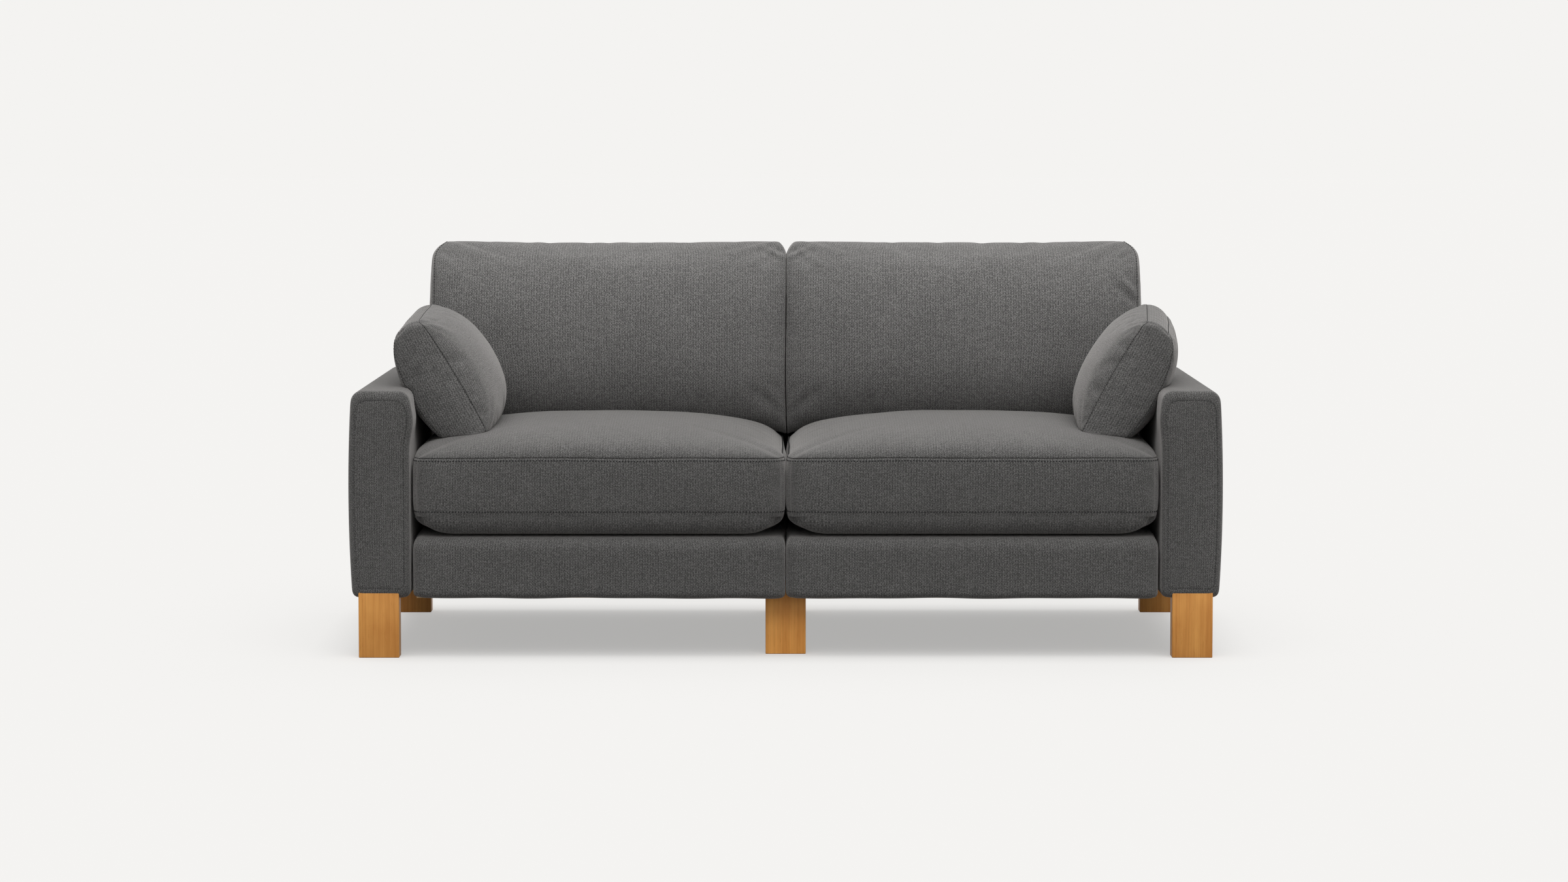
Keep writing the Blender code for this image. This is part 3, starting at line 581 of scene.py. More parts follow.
def crease(places, normals, start, stop, width, depth, through):
    """Presses a soft line into a surface between two points, given as seen along an axis; a
    negative depth raises it. It fades towards its ends and where the surface turns away."""
    seen = places[:, [axis for axis in range(3) if axis != through]]
    line = np.array(stop) - np.array(start)
    share = np.clip((seen - start) @ line / (line @ line), 0, 1)
    away = np.linalg.norm(seen - start - share[:, None] * line, axis=1)
    fade = np.sin(math.pi * (0.12 + 0.82 * share)) * np.clip(1.6 * np.abs(normals[:, through]), 0, 1)
    return places - normals * (depth * fade * bell(away, width))[:, None]


def normals_of(shape):
    """The normals of a bmesh's vertices as an array."""
    shape.normal_update()
    return np.array([vert.normal for vert in shape.verts])


def tree_of(piece):
    """A search tree of a finished piece's surface."""
    worked = piece.evaluated_get(bpy.context.evaluated_depsgraph_get())
    return BVHTree.FromPolygons(
        [vert.co for vert in worked.data.vertices],
        [face.vertices for face in worked.data.polygons],
    )


def keep_clear(places, trees, reach):
    """Pushes places that are inside other pieces out to just above their surfaces."""
    for tree in trees:
        for index, place in enumerate(places):
            spot, normal, _, _ = tree.find_nearest(Vector(place), reach)
            if spot is not None and (Vector(place) - spot).dot(normal) < gap:
                places[index] = spot + normal * gap
    return places


def loop_of(shape, on_loop):
    """The edges whose two ends are both on a loop."""
    return [e for e in shape.edges if on_loop[e.verts[0].index] and on_loop[e.verts[1].index]]


def fold_in(shape, edges, width, depth, shade):
    """Folds a seam in along edges: a narrow strip whose middle is drawn into the padding.

    shade is how much painted shade darkens the cloth in the fold, from 0 to 1."""
    made = bmesh.ops.bevel(
        shape,
        geom=edges,
        offset=width,
        offset_type="OFFSET",
        segments=2,
        profile=0.5,
        affect="EDGES",
        material=-1,
        loop_slide=True,
        clamp_overlap=True,
    )
    strip = set(made["faces"])
    middle = [v for v in made["verts"] if all(face in strip for face in v.link_faces)]
    shape.normal_update()
    moves = [(vert, vert.normal * depth) for vert in middle]
    # The middle of the fold gets its painted shade
    seam = shape.verts.layers.float[seam_shade_layer]
    for vert, move in moves:
        vert.co -= move
        vert[seam] = shade


def rim(box, axis, end):
    """Which vertices are on the rim of the panel at one end of an axis."""
    across = np.abs(np.delete(box, axis, axis=1)).max(axis=1)
    return (np.abs(box[:, axis] - end) < tiny) & (across > 1 - tiny)


def ring_path(places, normals, box, on_loop, axis):
    """The places and normals round a closed loop, in order round an axis."""
    p, q = [part for part in range(3) if part != axis]
    index = np.nonzero(on_loop)[0]
    order = index[np.argsort(np.arctan2(box[index, q], box[index, p]))]
    order = np.append(order, order[0])
    return places[order], normals[order]


def stitch_rows(places, normals, box, axis, loops, *size):
    """A row of stitches round each of some closed loops: its path, and its stitches' length,
    width and sink."""
    return [(ring_path(places, normals, box, loop, axis), *size) for loop in loops]


def add_stitches(thread, stitch, path, pitch, size, sink):
    """Adds a row of sunken stitches along a path to a bmesh; stitch is a ball of radius 1."""
    places, normals = path
    steps = np.linalg.norm(np.diff(places, axis=0), axis=1)
    along = np.concatenate(([0], np.cumsum(steps)))
    spots = np.linspace(0, along[-1], int(along[-1] / pitch), endpoint=False) + pitch / 4
    at, ahead, up = (
        np.stack([np.interp(where, along, values[:, axis]) for axis in range(3)], axis=1)
        for where, values in ((spots, places), (spots + pitch / 8, places), (spots, normals))
    )
    for spot, nearby, normal in zip(at, ahead, up):
        forward = Vector(nearby - spot).normalized()
        side = Vector(normal).cross(forward).normalized()
        turn = Matrix((forward, side, forward.cross(side))).transposed().to_4x4()
        spot = Vector(spot) - Vector(normal) * sink
        place = Matrix.Translation(spot) @ turn @ Matrix.Diagonal((*size, 1))
        stitch.transform(place)
        thread.from_mesh(stitch)
        stitch.transform(place.inverted())


def finished(name, shape, material, levels=1):
    """An object from a bmesh, smooth, with the named material and a subdivision surface."""
    mesh = bpy.data.meshes.new(name)
    bmesh.ops.recalc_face_normals(shape, faces=shape.faces)
    shape.to_mesh(mesh)
    shape.free()
    mesh.materials.append(bpy.data.materials[material])
    for polygon in mesh.polygons:
        polygon.use_smooth = True
    piece = bpy.data.objects.new(name, mesh)
    bpy.context.scene.collection.objects.link(piece)
    if levels:
        surface = piece.modifiers.new("surface", "SUBSURF")
        surface.levels = levels
        surface.render_levels = levels
    bpy.context.view_layer.update()
    return piece


def carried(piece, slot, *nodes):
    """A piece that rides with the sofa and stands for nodes, which it hides. slot is not used."""
    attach(piece, "root")
    if nodes:
        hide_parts(*nodes)
    return piece


def add_thread(name, rows, material="stitch_thread"):
    """Makes a piece of the stitches in rows from stitch_rows."""
    ball = bmesh.new()
    bmesh.ops.create_uvsphere(ball, u_segments=6, v_segments=4, radius=1)
    stitch = bpy.data.meshes.new("stitch")
    ball.to_mesh(stitch)
    ball.free()
    thread = bmesh.new()
    pitch = bpy.context.scene.sofa_cushions.stitch_pitch
    for path, length, width, sink in rows:
        add_stitches(thread, stitch, path, pitch, (length / 2, width / 2, width / 3), sink)
    bpy.data.meshes.remove(stitch)
    carried(finished(name, thread, material, levels=0), "cushion_cover")


# Upholstered frame pieces


def slab_rows(length, rounding, inset, pitch):
    """Rows along a slab from end to end: their levels, how far each is drawn in at the low and at
    the high end, as a share, and how far along the cloth it is."""
    turns = np.linspace(0, math.pi / 2, rim_steps + 1)
    low = rounding[0] * (1 - np.cos(turns))
    high = length - rounding[1] * (1 - np.cos(turns[::-1]))
    middle = level_rows((low[-1], high[0]), pitch)[1:-1]
    levels = np.concatenate((low, middle, high))
    drawn_low = np.concatenate((1 - np.sin(turns), np.zeros(len(middle) + len(high))))
    drawn_high = np.concatenate((np.zeros(len(middle) + len(low)), 1 - np.sin(turns[::-1])))
    steps = np.hypot(np.diff(levels), inset * np.diff(drawn_low + drawn_high))
    return levels, drawn_low, drawn_high, np.concatenate(([0], np.cumsum(steps)))


def slab(along, low, high, roundings, insets, radii, pitch, swell):
    """An upholstered slab between two corners: its rims round over at both ends of one axis.

    roundings are how far the rims reach along the axis, insets how far they draw the outline in
    along the other two, and radii the outline's corners at the low and high side of the last
    of these. swell moves the places at the end."""
    low, high = np.array(low), np.array(high)
    size = high - low
    p, q = [axis for axis in range(3) if axis != along]
    levels, drawn_low, drawn_high, cloth = slab_rows(size[along], roundings, max(insets), pitch)
    counts = [max(4, int(round(part / pitch))) for part in size]
    counts[along] = len(levels) - 1
    shape = gridded_box(counts)
    box = places_of(shape)
    drawn = on_rows(box[:, along], drawn_low) + on_rows(box[:, along], drawn_high)
    half_p = size[p] / 2 - insets[0] * drawn
    half_q = size[q] / 2 - insets[1] * drawn
    radius = np.where(box[:, q] > 0, radii[1], radii[0])
    places = np.zeros_like(box)
    places[:, along] = low[along] + on_rows(box[:, along], levels)
    u, v = rounded_square(box[:, p], box[:, q], half_p, half_q, radius)
    places[:, p] = (low[p] + high[p]) / 2 + u
    places[:, q] = (low[q] + high[q]) / 2 + v
    woven = box * size / 2
    woven[:, along] = on_rows(box[:, along], cloth)
    places = swell(places, box)
    move_to(shape, places)
    map_weave(shape, box, woven)
    return shape, box, places


def nestled(places, inward, middle, width, depth=0.0035, top=math.inf, fade=0.03):
    """Bows the sides of two neighbours the same way where they meet, so that no light shows
    between them; inward is 1 on the side that faces the neighbour and -1 on the far side."""
    bow = depth * bell(places[:, 1] - middle, width)
    places[:, 0] += bow * np.clip(inward, 0, 1) ** 3 * smooth_step((top - places[:, 2]) / fade)
    return places


def drawn_in(places, outward, side, depth=0.0042, front_y=-0.30, fade=0.10):
    """Draws a piece in from the arm beside it near its front, which leaves a dark gap there."""
    front = smooth_step((front_y - places[:, 1]) / fade)
    places[:, 0] -= side * depth * np.clip(outward, 0, 1) ** 6 * front
    return places


class SOFA_OT_arms(bpy.types.Operator):
    """Builds the two padded arms, with a seam round the panel at each end"""

    bl_idname = "sofa.arms"
    bl_label = "Arms"

    # How far its end panels and its outer side swell
    crown, barrel = 0.004, 0.007
    # The rims' reach and inset, the outline's corners and the pitch, as slab takes them
    form = ((0.014, 0.014), (0.012, 0.020), (0.012, 0.022), 0.012)
    # A bulge of the inner side near its front
    bulges = {"left": 0.0085, "right": 0.0045}
    bulge_z, bulge_height = 0.498, 0.034
    front_y, front_fade = -0.30, 0.06
    # The depth, length and seed of the waves in its hem
    hem_height, hem_wave = 0.02, (0.0007, 0.11, 5)
    # A stitch's length, width and sink, and how deep the seam is and how much painted shade darkens it
    stitch, fold = (0.0030, 0.0016, 0.0004), (0.0011, 0.10)

    def execute(self, context):
        for name, side in sides.items():
            self.build(context.scene.sofa_cushions, name, side)
        return {"FINISHED"}

    def build(self, cushions, name, side):
        """Builds one arm."""
        low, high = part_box("arm_upholstery_" + name)

        def swell(places, box):
            outward = side * box[:, 0]
            tall = (places[:, 2] - (low.z + high.z) / 2) / (high.z - low.z) * 2
            out = self.barrel * np.clip(outward, 0, 1) * (1 - tall**2)
            front = smooth_step((self.front_y - places[:, 1]) / self.front_fade)
            lift = bell(places[:, 2] - self.bulge_z, self.bulge_height)
            out -= self.bulges[name] * np.clip(-outward, 0, 1) * front * lift
            places[:, 0] += side * out
            end = np.abs(box[:, 1]) > 1 - tiny
            swelled = crown_at(box[:, 0], box[:, 2], 0.6)
            places[:, 1] += end * np.sign(box[:, 1]) * self.crown * swelled
            hem = bell(places[:, 2] - low.z, self.hem_height)
            places[:, 2] += hem * gentle_noise(places, side, *self.hem_wave)
            return places

        inner, outer = (low.x, high.x) if side > 0 else (high.x, low.x)
        x = sorted((inner, outer - side * self.barrel))
        start, stop = (x[0], low.y + self.crown, low.z), (x[1], high.y - self.crown, high.z)
        shape, box, places = slab(1, start, stop, *self.form, swell)
        rims = [rim(box, 1, end) for end in (-1, 1)]
        rows = stitch_rows(places, normals_of(shape), box, 1, rims, *self.stitch)
        fold_in(shape, loop_of(shape, rims[0] | rims[1]), cushions.seam_width, *self.fold)
        piece = finished("arm_cover_" + name, shape, "cover_cloth")
        carried(piece, "upholstery", "arm_upholstery_" + name)
        add_thread("arm_stitches_" + name, rows, "cover_thread")


class SOFA_OT_bases(bpy.types.Operator):
    """Builds the two padded seat bases"""

    bl_idname = "sofa.bases"
    bl_label = "Bases"

    form = ((0.012, 0.026), (0.012, 0.024), (0.020, 0.012), 0.012)
    hem_height, hem_drop, hem_wave = 0.02, 0.0024, (0.0011, 0.16, 11)
    # Its front swells, and its inner side is square from here back
    front_swell, square_y, square_fade = 0.0022, -0.38, 0.10
    # Where its inner side bows to nest against its neighbour, and over what width
    nest = (0.05, 0.25)
    underside, recess = 0.003, {"thickness": 0.002, "depth": -0.006}

    def execute(self, context):
        for name, side in sides.items():
            self.build(name, side)
        return {"FINISHED"}

    def build(self, name, side):
        """Builds one base, its underside recessed over the dust cloth."""
        low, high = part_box("base_upholstery_" + name)
        dust_low, dust_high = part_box("dust_cover_" + name)

        def swell(places, box):
            hem = bell(places[:, 2] - low.z, self.hem_height)
            places[:, 2] += hem * (gentle_noise(places, side, *self.hem_wave) - self.hem_drop)
            middle = 1 - np.clip(np.abs(box[:, 2]), 0, 1) ** 2
            front = np.clip(-box[:, 1], 0, 1) ** 8
            places[:, 1] -= self.front_swell * front * middle * (1 - box[:, 0] ** 4)
            inward = -side * box[:, 0]
            square = smooth_step((places[:, 1] - self.square_y) / self.square_fade)
            square = np.clip(inward, 0, 1) ** 8 * square
            places[:, 0] += square * (side * gap / 2 - places[:, 0])
            return nestled(drawn_in(places, -inward, side), inward, *self.nest)

        shape, _, _ = slab(2, low, high, *self.form, swell)
        inner = [
            face
            for face in shape.faces
            if face.normal.z < -0.9
            and face.calc_center_median().z < low.z + self.underside
            and all(dust_low[i] < vert.co[i] < dust_high[i] for vert in face.verts for i in (0, 1))
        ]
        bmesh.ops.inset_region(shape, faces=inner, **self.recess)
        piece = finished("base_cover_" + name, shape, "cover_cloth")
        carried(piece, "upholstery", "base_upholstery_" + name)


class SOFA_OT_backs(bpy.types.Operator):
    """Builds the two padded backs behind the back cushions"""

    bl_idname = "sofa.backs"
    bl_label = "Backs"

    crown = 0.005
    form = ((0.018, 0.018), (0.018, 0.018), (0.022, 0.022), 0.014)
    nest = (0.378, 0.03)
    # A stitch's length, width and sink, and how deep the seam is and how much painted shade darkens it
    stitch, fold = (0.0032, 0.0018, 0.0005), (0.0014, 0.30)

    def execute(self, context):
        for name, side in sides.items():
            self.build(context.scene.sofa_cushions, name, side)
        return {"FINISHED"}

    def build(self, cushions, name, side):
        """Builds one back."""
        low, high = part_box("back_upholstery_" + name)

        def swell(places, box):
            rear = box[:, 1] > 1 - tiny
            places[:, 1] += rear * self.crown * crown_at(box[:, 0], box[:, 2], 0.5)
            return nestled(places, -side * box[:, 0], *self.nest)

        stop = (high.x, high.y - self.crown, high.z)
        shape, box, places = slab(1, low, stop, *self.form, swell)
        seam = rim(box, 1, 1)
        rows = stitch_rows(places, normals_of(shape), box, 1, [seam], *self.stitch)
        fold_in(shape, loop_of(shape, seam), cushions.seam_width, *self.fold)
        piece = finished("back_cover_" + name, shape, "cover_cloth")
        carried(piece, "upholstery", "back_upholstery_" + name)
        add_thread("back_stitches_" + name, rows, "cover_thread")


# Cushions and pillows


def crowned_grid(*rows):
    """A box on rows along each axis, each given as rows from -1 to 1 and how far along the cloth
    they are: its bmesh, its vertices' even places, their rows, and how far along they are."""
    shape = gridded_box([len(row) - 1 for row, _ in rows])
    even = places_of(shape)
    box, along = (
        np.stack([on_rows(even[:, axis], pair[part]) for axis, pair in enumerate(rows)], axis=1)
        for part in (0, 1)
    )
    return shape, even, box, along


class SOFA_OT_back_cushions(bpy.types.Operator):
    """Builds the two back cushions, whose fronts run over the top between end panels"""

    bl_idname = "sofa.back_cushions"
    bl_label = "Back cushions"

    # How far its end panels swell, and how far it spreads over the arm
    end_crown, shoulder, shoulder_rise = 0.015, 0.012, 0.080
    top_radius, foot_radius = 0.060, 0.035
    side_gap, split_gap, nest = 0.0004, 0.0007, (0.235, 0.035)
    # How far the tops part at the split, slope in at the arms and lean back, and how far the
    # feet turn back, each with the height that it takes
    parting, parting_height = 0.018, 0.030
    slope, slope_height = 0.024, 0.045
    lean, lean_height = 0.040, 0.190
    turn_back, turn_back_height = 0.030, 0.160
    # How far the top corners and the inner foot corner drop
    corner_drop, corner_dip = 0.002, 0.014
    # How much of the crown the swell of the front takes, and the powers that keep it low
    crown_share, rise, fall, peak = 0.96, 0.85, 0.42, 1.085
    # The cloth's looseness, the furthest it may move, and how much of its swelling it keeps
    swelling = (0.010, 0.012, 0.25, 0.5)
    wave = (0.0012, 0.22, 21)
    # A stitch's length, width and sink, how much painted shade darkens the outer seam, and the inner seam's
    # width, depth and painted shade
    stitch, outer_shade, inner_fold = (0.0038, 0.0030, 0.0), 0.8, (0.0010, 0.0016, 0.5)

    # Creases beside the split: the height where each starts, the place where it ends, and its
    # width and depth, which is negative where it is raised
    split_x = 0.004
    split_creases = (
        (0.824, 0.052, 0.848, 0.0060, 0.0042),
        (0.815, 0.046, 0.840, 0.0050, -0.0026),
        (0.806, 0.058, 0.832, 0.0060, 0.0042),
        (0.790, 0.046, 0.812, 0.0060, 0.0038),
        (0.766, 0.036, 0.782, 0.0070, 0.0030),
        (0.470, 0.080, 0.530, 0.0130, 0.0050),
        (0.505, 0.044, 0.550, 0.0100, 0.0026),
    )
    # Pulls at the outer seam: the places where each starts and ends, and its depth
    pull_width = 0.0060
    pulls = {
        "left": (
            (0.772, 0.832, 0.742, 0.815, 0.0034),
            (0.776, 0.800, 0.745, 0.790, 0.0024),
        ),
        "right": (
            (0.772, 0.826, 0.738, 0.810, 0.0034),
            (0.774, 0.808, 0.742, 0.794, 0.0030),
            (0.778, 0.752, 0.748, 0.790, 0.0040),
            (0.780, 0.732, 0.742, 0.774, -0.0060),
            (0.778, 0.716, 0.736, 0.754, 0.0046),
            (0.778, 0.700, 0.750, 0.722, -0.0034),
        ),
    }

    def execute(self, context):
        for name, side in sides.items():
            self.build(context.scene.sofa_cushions, name, side)
        return {"FINISHED"}

    def build(self, cushions, name, side):
        """Builds one back cushion."""
        pitch, crown = cushions.mesh_pitch, cushions.back_crown
        low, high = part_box("back_cushion_" + name)
        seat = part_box("seat_cushion_" + name)
        inner = min(abs(low.x), abs(high.x))
        outer = max(abs(corner.x) for corner in seat)
        half_x = (outer - inner) / 2 - self.end_crown + self.side_gap
        middle_x = (outer + inner) / 2
        half_y, half_z = (high.y - low.y - crown) / 2, (high.z - low.z) / 2
        middle_y, middle_z = high.y - half_y, (high.z + low.z) / 2
        arm_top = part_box("arm_upholstery_" + name)[1].z

        shape, even, box, along = crowned_grid(
            even_rows(crown, 0.5, half_x, pitch),
            even_rows(self.end_crown, 0.5, half_y, pitch),
            even_rows(crown, 0.5, half_z, pitch),
        )
        a, b, c = box.T
        radius = np.where(c > 0, self.top_radius, self.foot_radius)
        y, z = rounded_square(b, c, half_y, half_z, radius)
        v = z / half_z
        level = middle_z + z - high.z
        parting = self.split_gap + self.parting * fading(level, self.parting_height) ** 1.4
        sloping = self.slope * fading(level, self.slope_height) ** 3
        reach = np.where(a > 0, half_x - sloping, middle_x - inner - parting)
        swell = np.where(a > 0, self.end_crown, parting - self.side_gap)
        x = middle_x + a * reach
        end = np.abs(a) > 1 - tiny
        x += np.sign(a) * end * swell * crown_at(b, c, 0.5)
        front = np.clip(-y / half_y, 0, 1)
        low_heavy = np.clip(1 - v, 0, 2) ** self.rise * np.clip(1 + v, 0, 2) ** self.fall / self.peak
        y = middle_y + y - self.crown_share * crown * crown_at(a, 0, 0.5) * low_heavy * front
        y += self.lean * fading(level, self.lean_height) ** 2 * front
        y += self.turn_back * fading(-level - 2 * half_z, self.turn_back_height) ** 2 * front
        z = middle_z + z - self.corner_drop * np.abs(a) ** 60 * np.clip(v, 0, 1)
        over = smooth_step((z - arm_top) / self.shoulder_rise)
        x += self.shoulder * over * smooth_step((x - middle_x) / half_x)
        move_to(shape, np.stack([side * x, y, z], axis=1))
        if side < 0:
            bmesh.ops.reverse_faces(shape, faces=shape.faces)
        map_weave(shape, even, along)

        inner_seam, outer_seam = rim(even, 0, -1), rim(even, 0, 1)
        held = np.where(outer_seam | inner_seam | (b > 1 - tiny) | (c < -1 + tiny), 1.0, 0.0)
        held = np.maximum(held, np.where(end, 0.5, 0.0))
        places = padded(shape, held, *self.swelling)
        normals = normals_of(shape)
        wave = gentle_noise(places, side, *self.wave)
        places = places + normals * (wave * front)[:, None]
        for start_z, stop_x, stop_z, width, deep in self.split_creases:
            start, stop = (side * self.split_x, start_z), (side * stop_x, stop_z)
            places = crease(places, normals, start, stop, width, deep, 1)
        for start_x, start_z, stop_x, stop_z, deep in self.pulls[name]:
            start, stop = (side * start_x, start_z), (side * stop_x, stop_z)
            places = crease(places, normals, start, stop, self.pull_width, deep, 1)
        places[:, 1] = np.minimum(places[:, 1], high.y)
        places[:, 2] = np.maximum(places[:, 2], low.z)
        places[:, 2] -= self.corner_dip * np.clip(-a, 0, 1) ** 10 * np.clip(-v, 0, 1) ** 3
        places[:, 0] = side * np.clip(side * places[:, 0], inner * 0.5, None)
        below = places[:, 2] < arm_top + 0.002
        places[below, 0] = side * np.clip(side * places[below, 0], None, outer)
        places = nestled(places, -a, *self.nest)
        move_to(shape, places)
        rows = stitch_rows(places, normals_of(shape), even, 0, [outer_seam], *self.stitch)
        outer_edges, inner_edges = loop_of(shape, outer_seam), loop_of(shape, inner_seam)
        fold_in(shape, outer_edges, cushions.seam_width, cushions.seam_depth, self.outer_shade)
        fold_in(shape, inner_edges, *self.inner_fold)
        piece = finished("back_pad_" + name, shape, "back_cushion_cloth_painted_light")
        carried(piece, "cushion_cover", "back_cushion_" + name)
        add_thread("back_pad_stitches_" + name, rows)


class SOFA_OT_seat_cushions(bpy.types.Operator):
    """Builds the two boxed seat cushions, pressed down under the back cushions"""

    bl_idname = "sofa.seat_cushions"
    bl_label = "Seat cushions"

    # How far it hangs under its lower seam, the height between its seams, how far they are
    # drawn in, and the radius of its corners
    drop, boxing, inset, radius = 0.044, 0.1225, 0.004, 0.034
    # The stitches' distance from its upper and its lower seam
    row, low_row = 0.0058, 0.0105
    crown_share, crown_exponent, turn_exponent = 0.95, 0.40, 1.8
    # The share of its half width, and of its half depth, over which its underside turns up
    side_turn, end_turn = 0.22, 0.075
    # Its inner side is square from here back, and its underside is lifted in front of here
    met_y, met_fade = -0.33, 0.10
    lift, lift_y, lift_fade = 0.0055, -0.31, 0.11
    # From here back, the top of its inner side leans off its neighbour and sinks
    lean_y, lean_fade, lean, sink = -0.40, 0.14, 0.007, 0.014
    # From here back it is under the back cushion, and it stands this far in front of its box
    pressed_y, proud = 0.10, 0.003
    nest = (-0.05, 0.12, 0.0065)
    swelling = (0.010, 0.012, 0.12, 0.4)
    # Waves of its cloth, its upper seam and its lower seam
    wave, seam_wave, foot_wave = (0.0010, 0.19, 31), (0.0011, 0.25, 41), (0.0013, 0.30, 51)
    # The stitches' length, width and sink at the upper and the lower seam, and how much painted shade
    # darkens the upper seam
    stitch, low_stitch, shade = (0.0037, 0.0030, -0.0002), (0.0037, 0.0032, -0.0003), 0.3

    def execute(self, context):
        for name, side in sides.items():
            self.build(context.scene.sofa_cushions, name, side)
        return {"FINISHED"}

    def turned_under(self, share, width, weight, foot):
        """Moves rows near the underside's edge onto a quarter turn, with a weight, and gives how
        far up that turn each is: 1 at the edge and 0 where the underside is flat."""
        turn = np.clip((1 - np.abs(share)) / width, 0, 1) * math.pi / 2
        rounded = np.sign(share) * (1 - width * (1 - np.cos(turn)))
        near = turn < math.pi / 2
        moved = np.where(near, share + weight * (rounded - share), share)
        return moved, np.where(near & foot, np.cos(turn), 0)

    def build(self, cushions, name, side):
        """Builds one seat cushion."""
        pitch, crown, boxing = cushions.mesh_pitch, cushions.seat_crown, self.boxing
        low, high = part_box("seat_cushion_" + name)
        half_x, half_y = (high.x - low.x) / 2, (high.y - low.y) / 2
        middle_x, middle_y = (high.x + low.x) / 2, (high.y + low.y) / 2
        seam_low, seam_high = low.z + self.drop, low.z + self.drop + boxing
        levels = level_rows((0, self.low_row, boxing - self.row, boxing), pitch)

        shape, even, box, along = crowned_grid(
            even_rows(crown, self.crown_exponent, half_x, pitch),
            even_rows(crown, self.crown_exponent, half_y, pitch),
            (levels / boxing * 2 - 1, levels),
        )
        a, b, c = box.T
        top, foot = c > 1 - tiny, c < -1 + tiny
        lowered = np.clip((1 - c) / 2, 0, 1) ** 2
        a, turned_x = self.turned_under(a, self.side_turn, lowered, foot)
        b, turned_y = self.turned_under(b, self.end_turn, lowered, foot)
        met = smooth_step((b * half_y - self.met_y) / self.met_fade) * (-side * a > 0.99)
        pulled = self.inset * c**4 * (1 - met)
        x, y = rounded_square(a, b, half_x - pulled, half_y - pulled, self.radius)
        z = seam_low + (c + 1) / 2 * boxing
        z += top * self.crown_share * crown * crown_at(a, b, self.crown_exponent)
        turned = np.clip((turned_x**4 + turned_y**4) ** 0.25, 0, 1)
        lifted = self.lift * smooth_step((self.lift_y - middle_y - y) / self.lift_fade)
        power = self.turn_exponent
        z -= foot * (self.drop - lifted) * (1 - turned**power) ** (1 / power)
        behind = smooth_step((middle_y + y - self.lean_y) / self.lean_fade)
        inward = np.clip(-side * a, 0, 1) ** 12 * smooth_step((c - 0.1) / 0.9) * behind
        x += side * self.lean * inward
        z -= self.sink * inward * top
        move_to(shape, np.stack([middle_x + x, middle_y + y, z], axis=1))
        map_weave(shape, even, along)

        upper, lower = rim(even, 2, 1), rim(even, 2, -1)
        edge = np.maximum(np.abs(even[:, 0]), np.abs(even[:, 1])) > 1 - tiny
        stitched, low_stitched = (
            edge & (np.abs(along[:, 2] - level) < tiny) for level in (boxing - self.row, self.low_row)
        )
        held = np.where(upper | lower | foot | stitched, 1.0, 0.0)
        places = padded(shape, held, *self.swelling)
        wave = gentle_noise(places, side, *self.wave)
        places = places + normals_of(shape) * (wave * ~foot)[:, None]
        for on_seam, wave in ((upper | stitched, self.seam_wave), (lower, self.foot_wave)):
            places[:, 2] += np.where(on_seam, gentle_noise(places, side, *wave), 0)
        self.press(places, seam_low, tree_of(bpy.data.objects["back_pad_" + name]))
        places[:, 0] = np.clip(places[:, 0], low.x, high.x)
        places[:, 1] = np.clip(places[:, 1], low.y - self.proud, high.y)
        places[:, 2] = np.maximum(places[:, 2], low.z)
        places = nestled(drawn_in(places, side * a, side), -side * a, *self.nest, seam_high)
        move_to(shape, places)
        normals = normals_of(shape)
        rows = stitch_rows(places, normals, even, 2, [stitched], *self.stitch)
        rows += stitch_rows(places, normals, even, 2, [low_stitched], *self.low_stitch)
        fold_in(shape, loop_of(shape, upper), cushions.seam_width, cushions.seam_depth, self.shade)
        piece = finished("seat_pad_" + name, shape, "cushion_cloth")
        carried(piece, "cushion_cover", "seat_cushion_" + name)
        add_thread("seat_pad_stitches_" + name, rows)

    def press(self, places, foot, above):
        """Presses the rear of a seat cushion down under the back cushion above it."""
        for place in places:
            if place[1] > self.pressed_y:
                spot, _, _, _ = above.ray_cast(Vector((place[0], place[1], foot)), Vector((0, 0, 1)))
                if spot is not None:
                    place[2] = min(place[2], spot.z - gap)


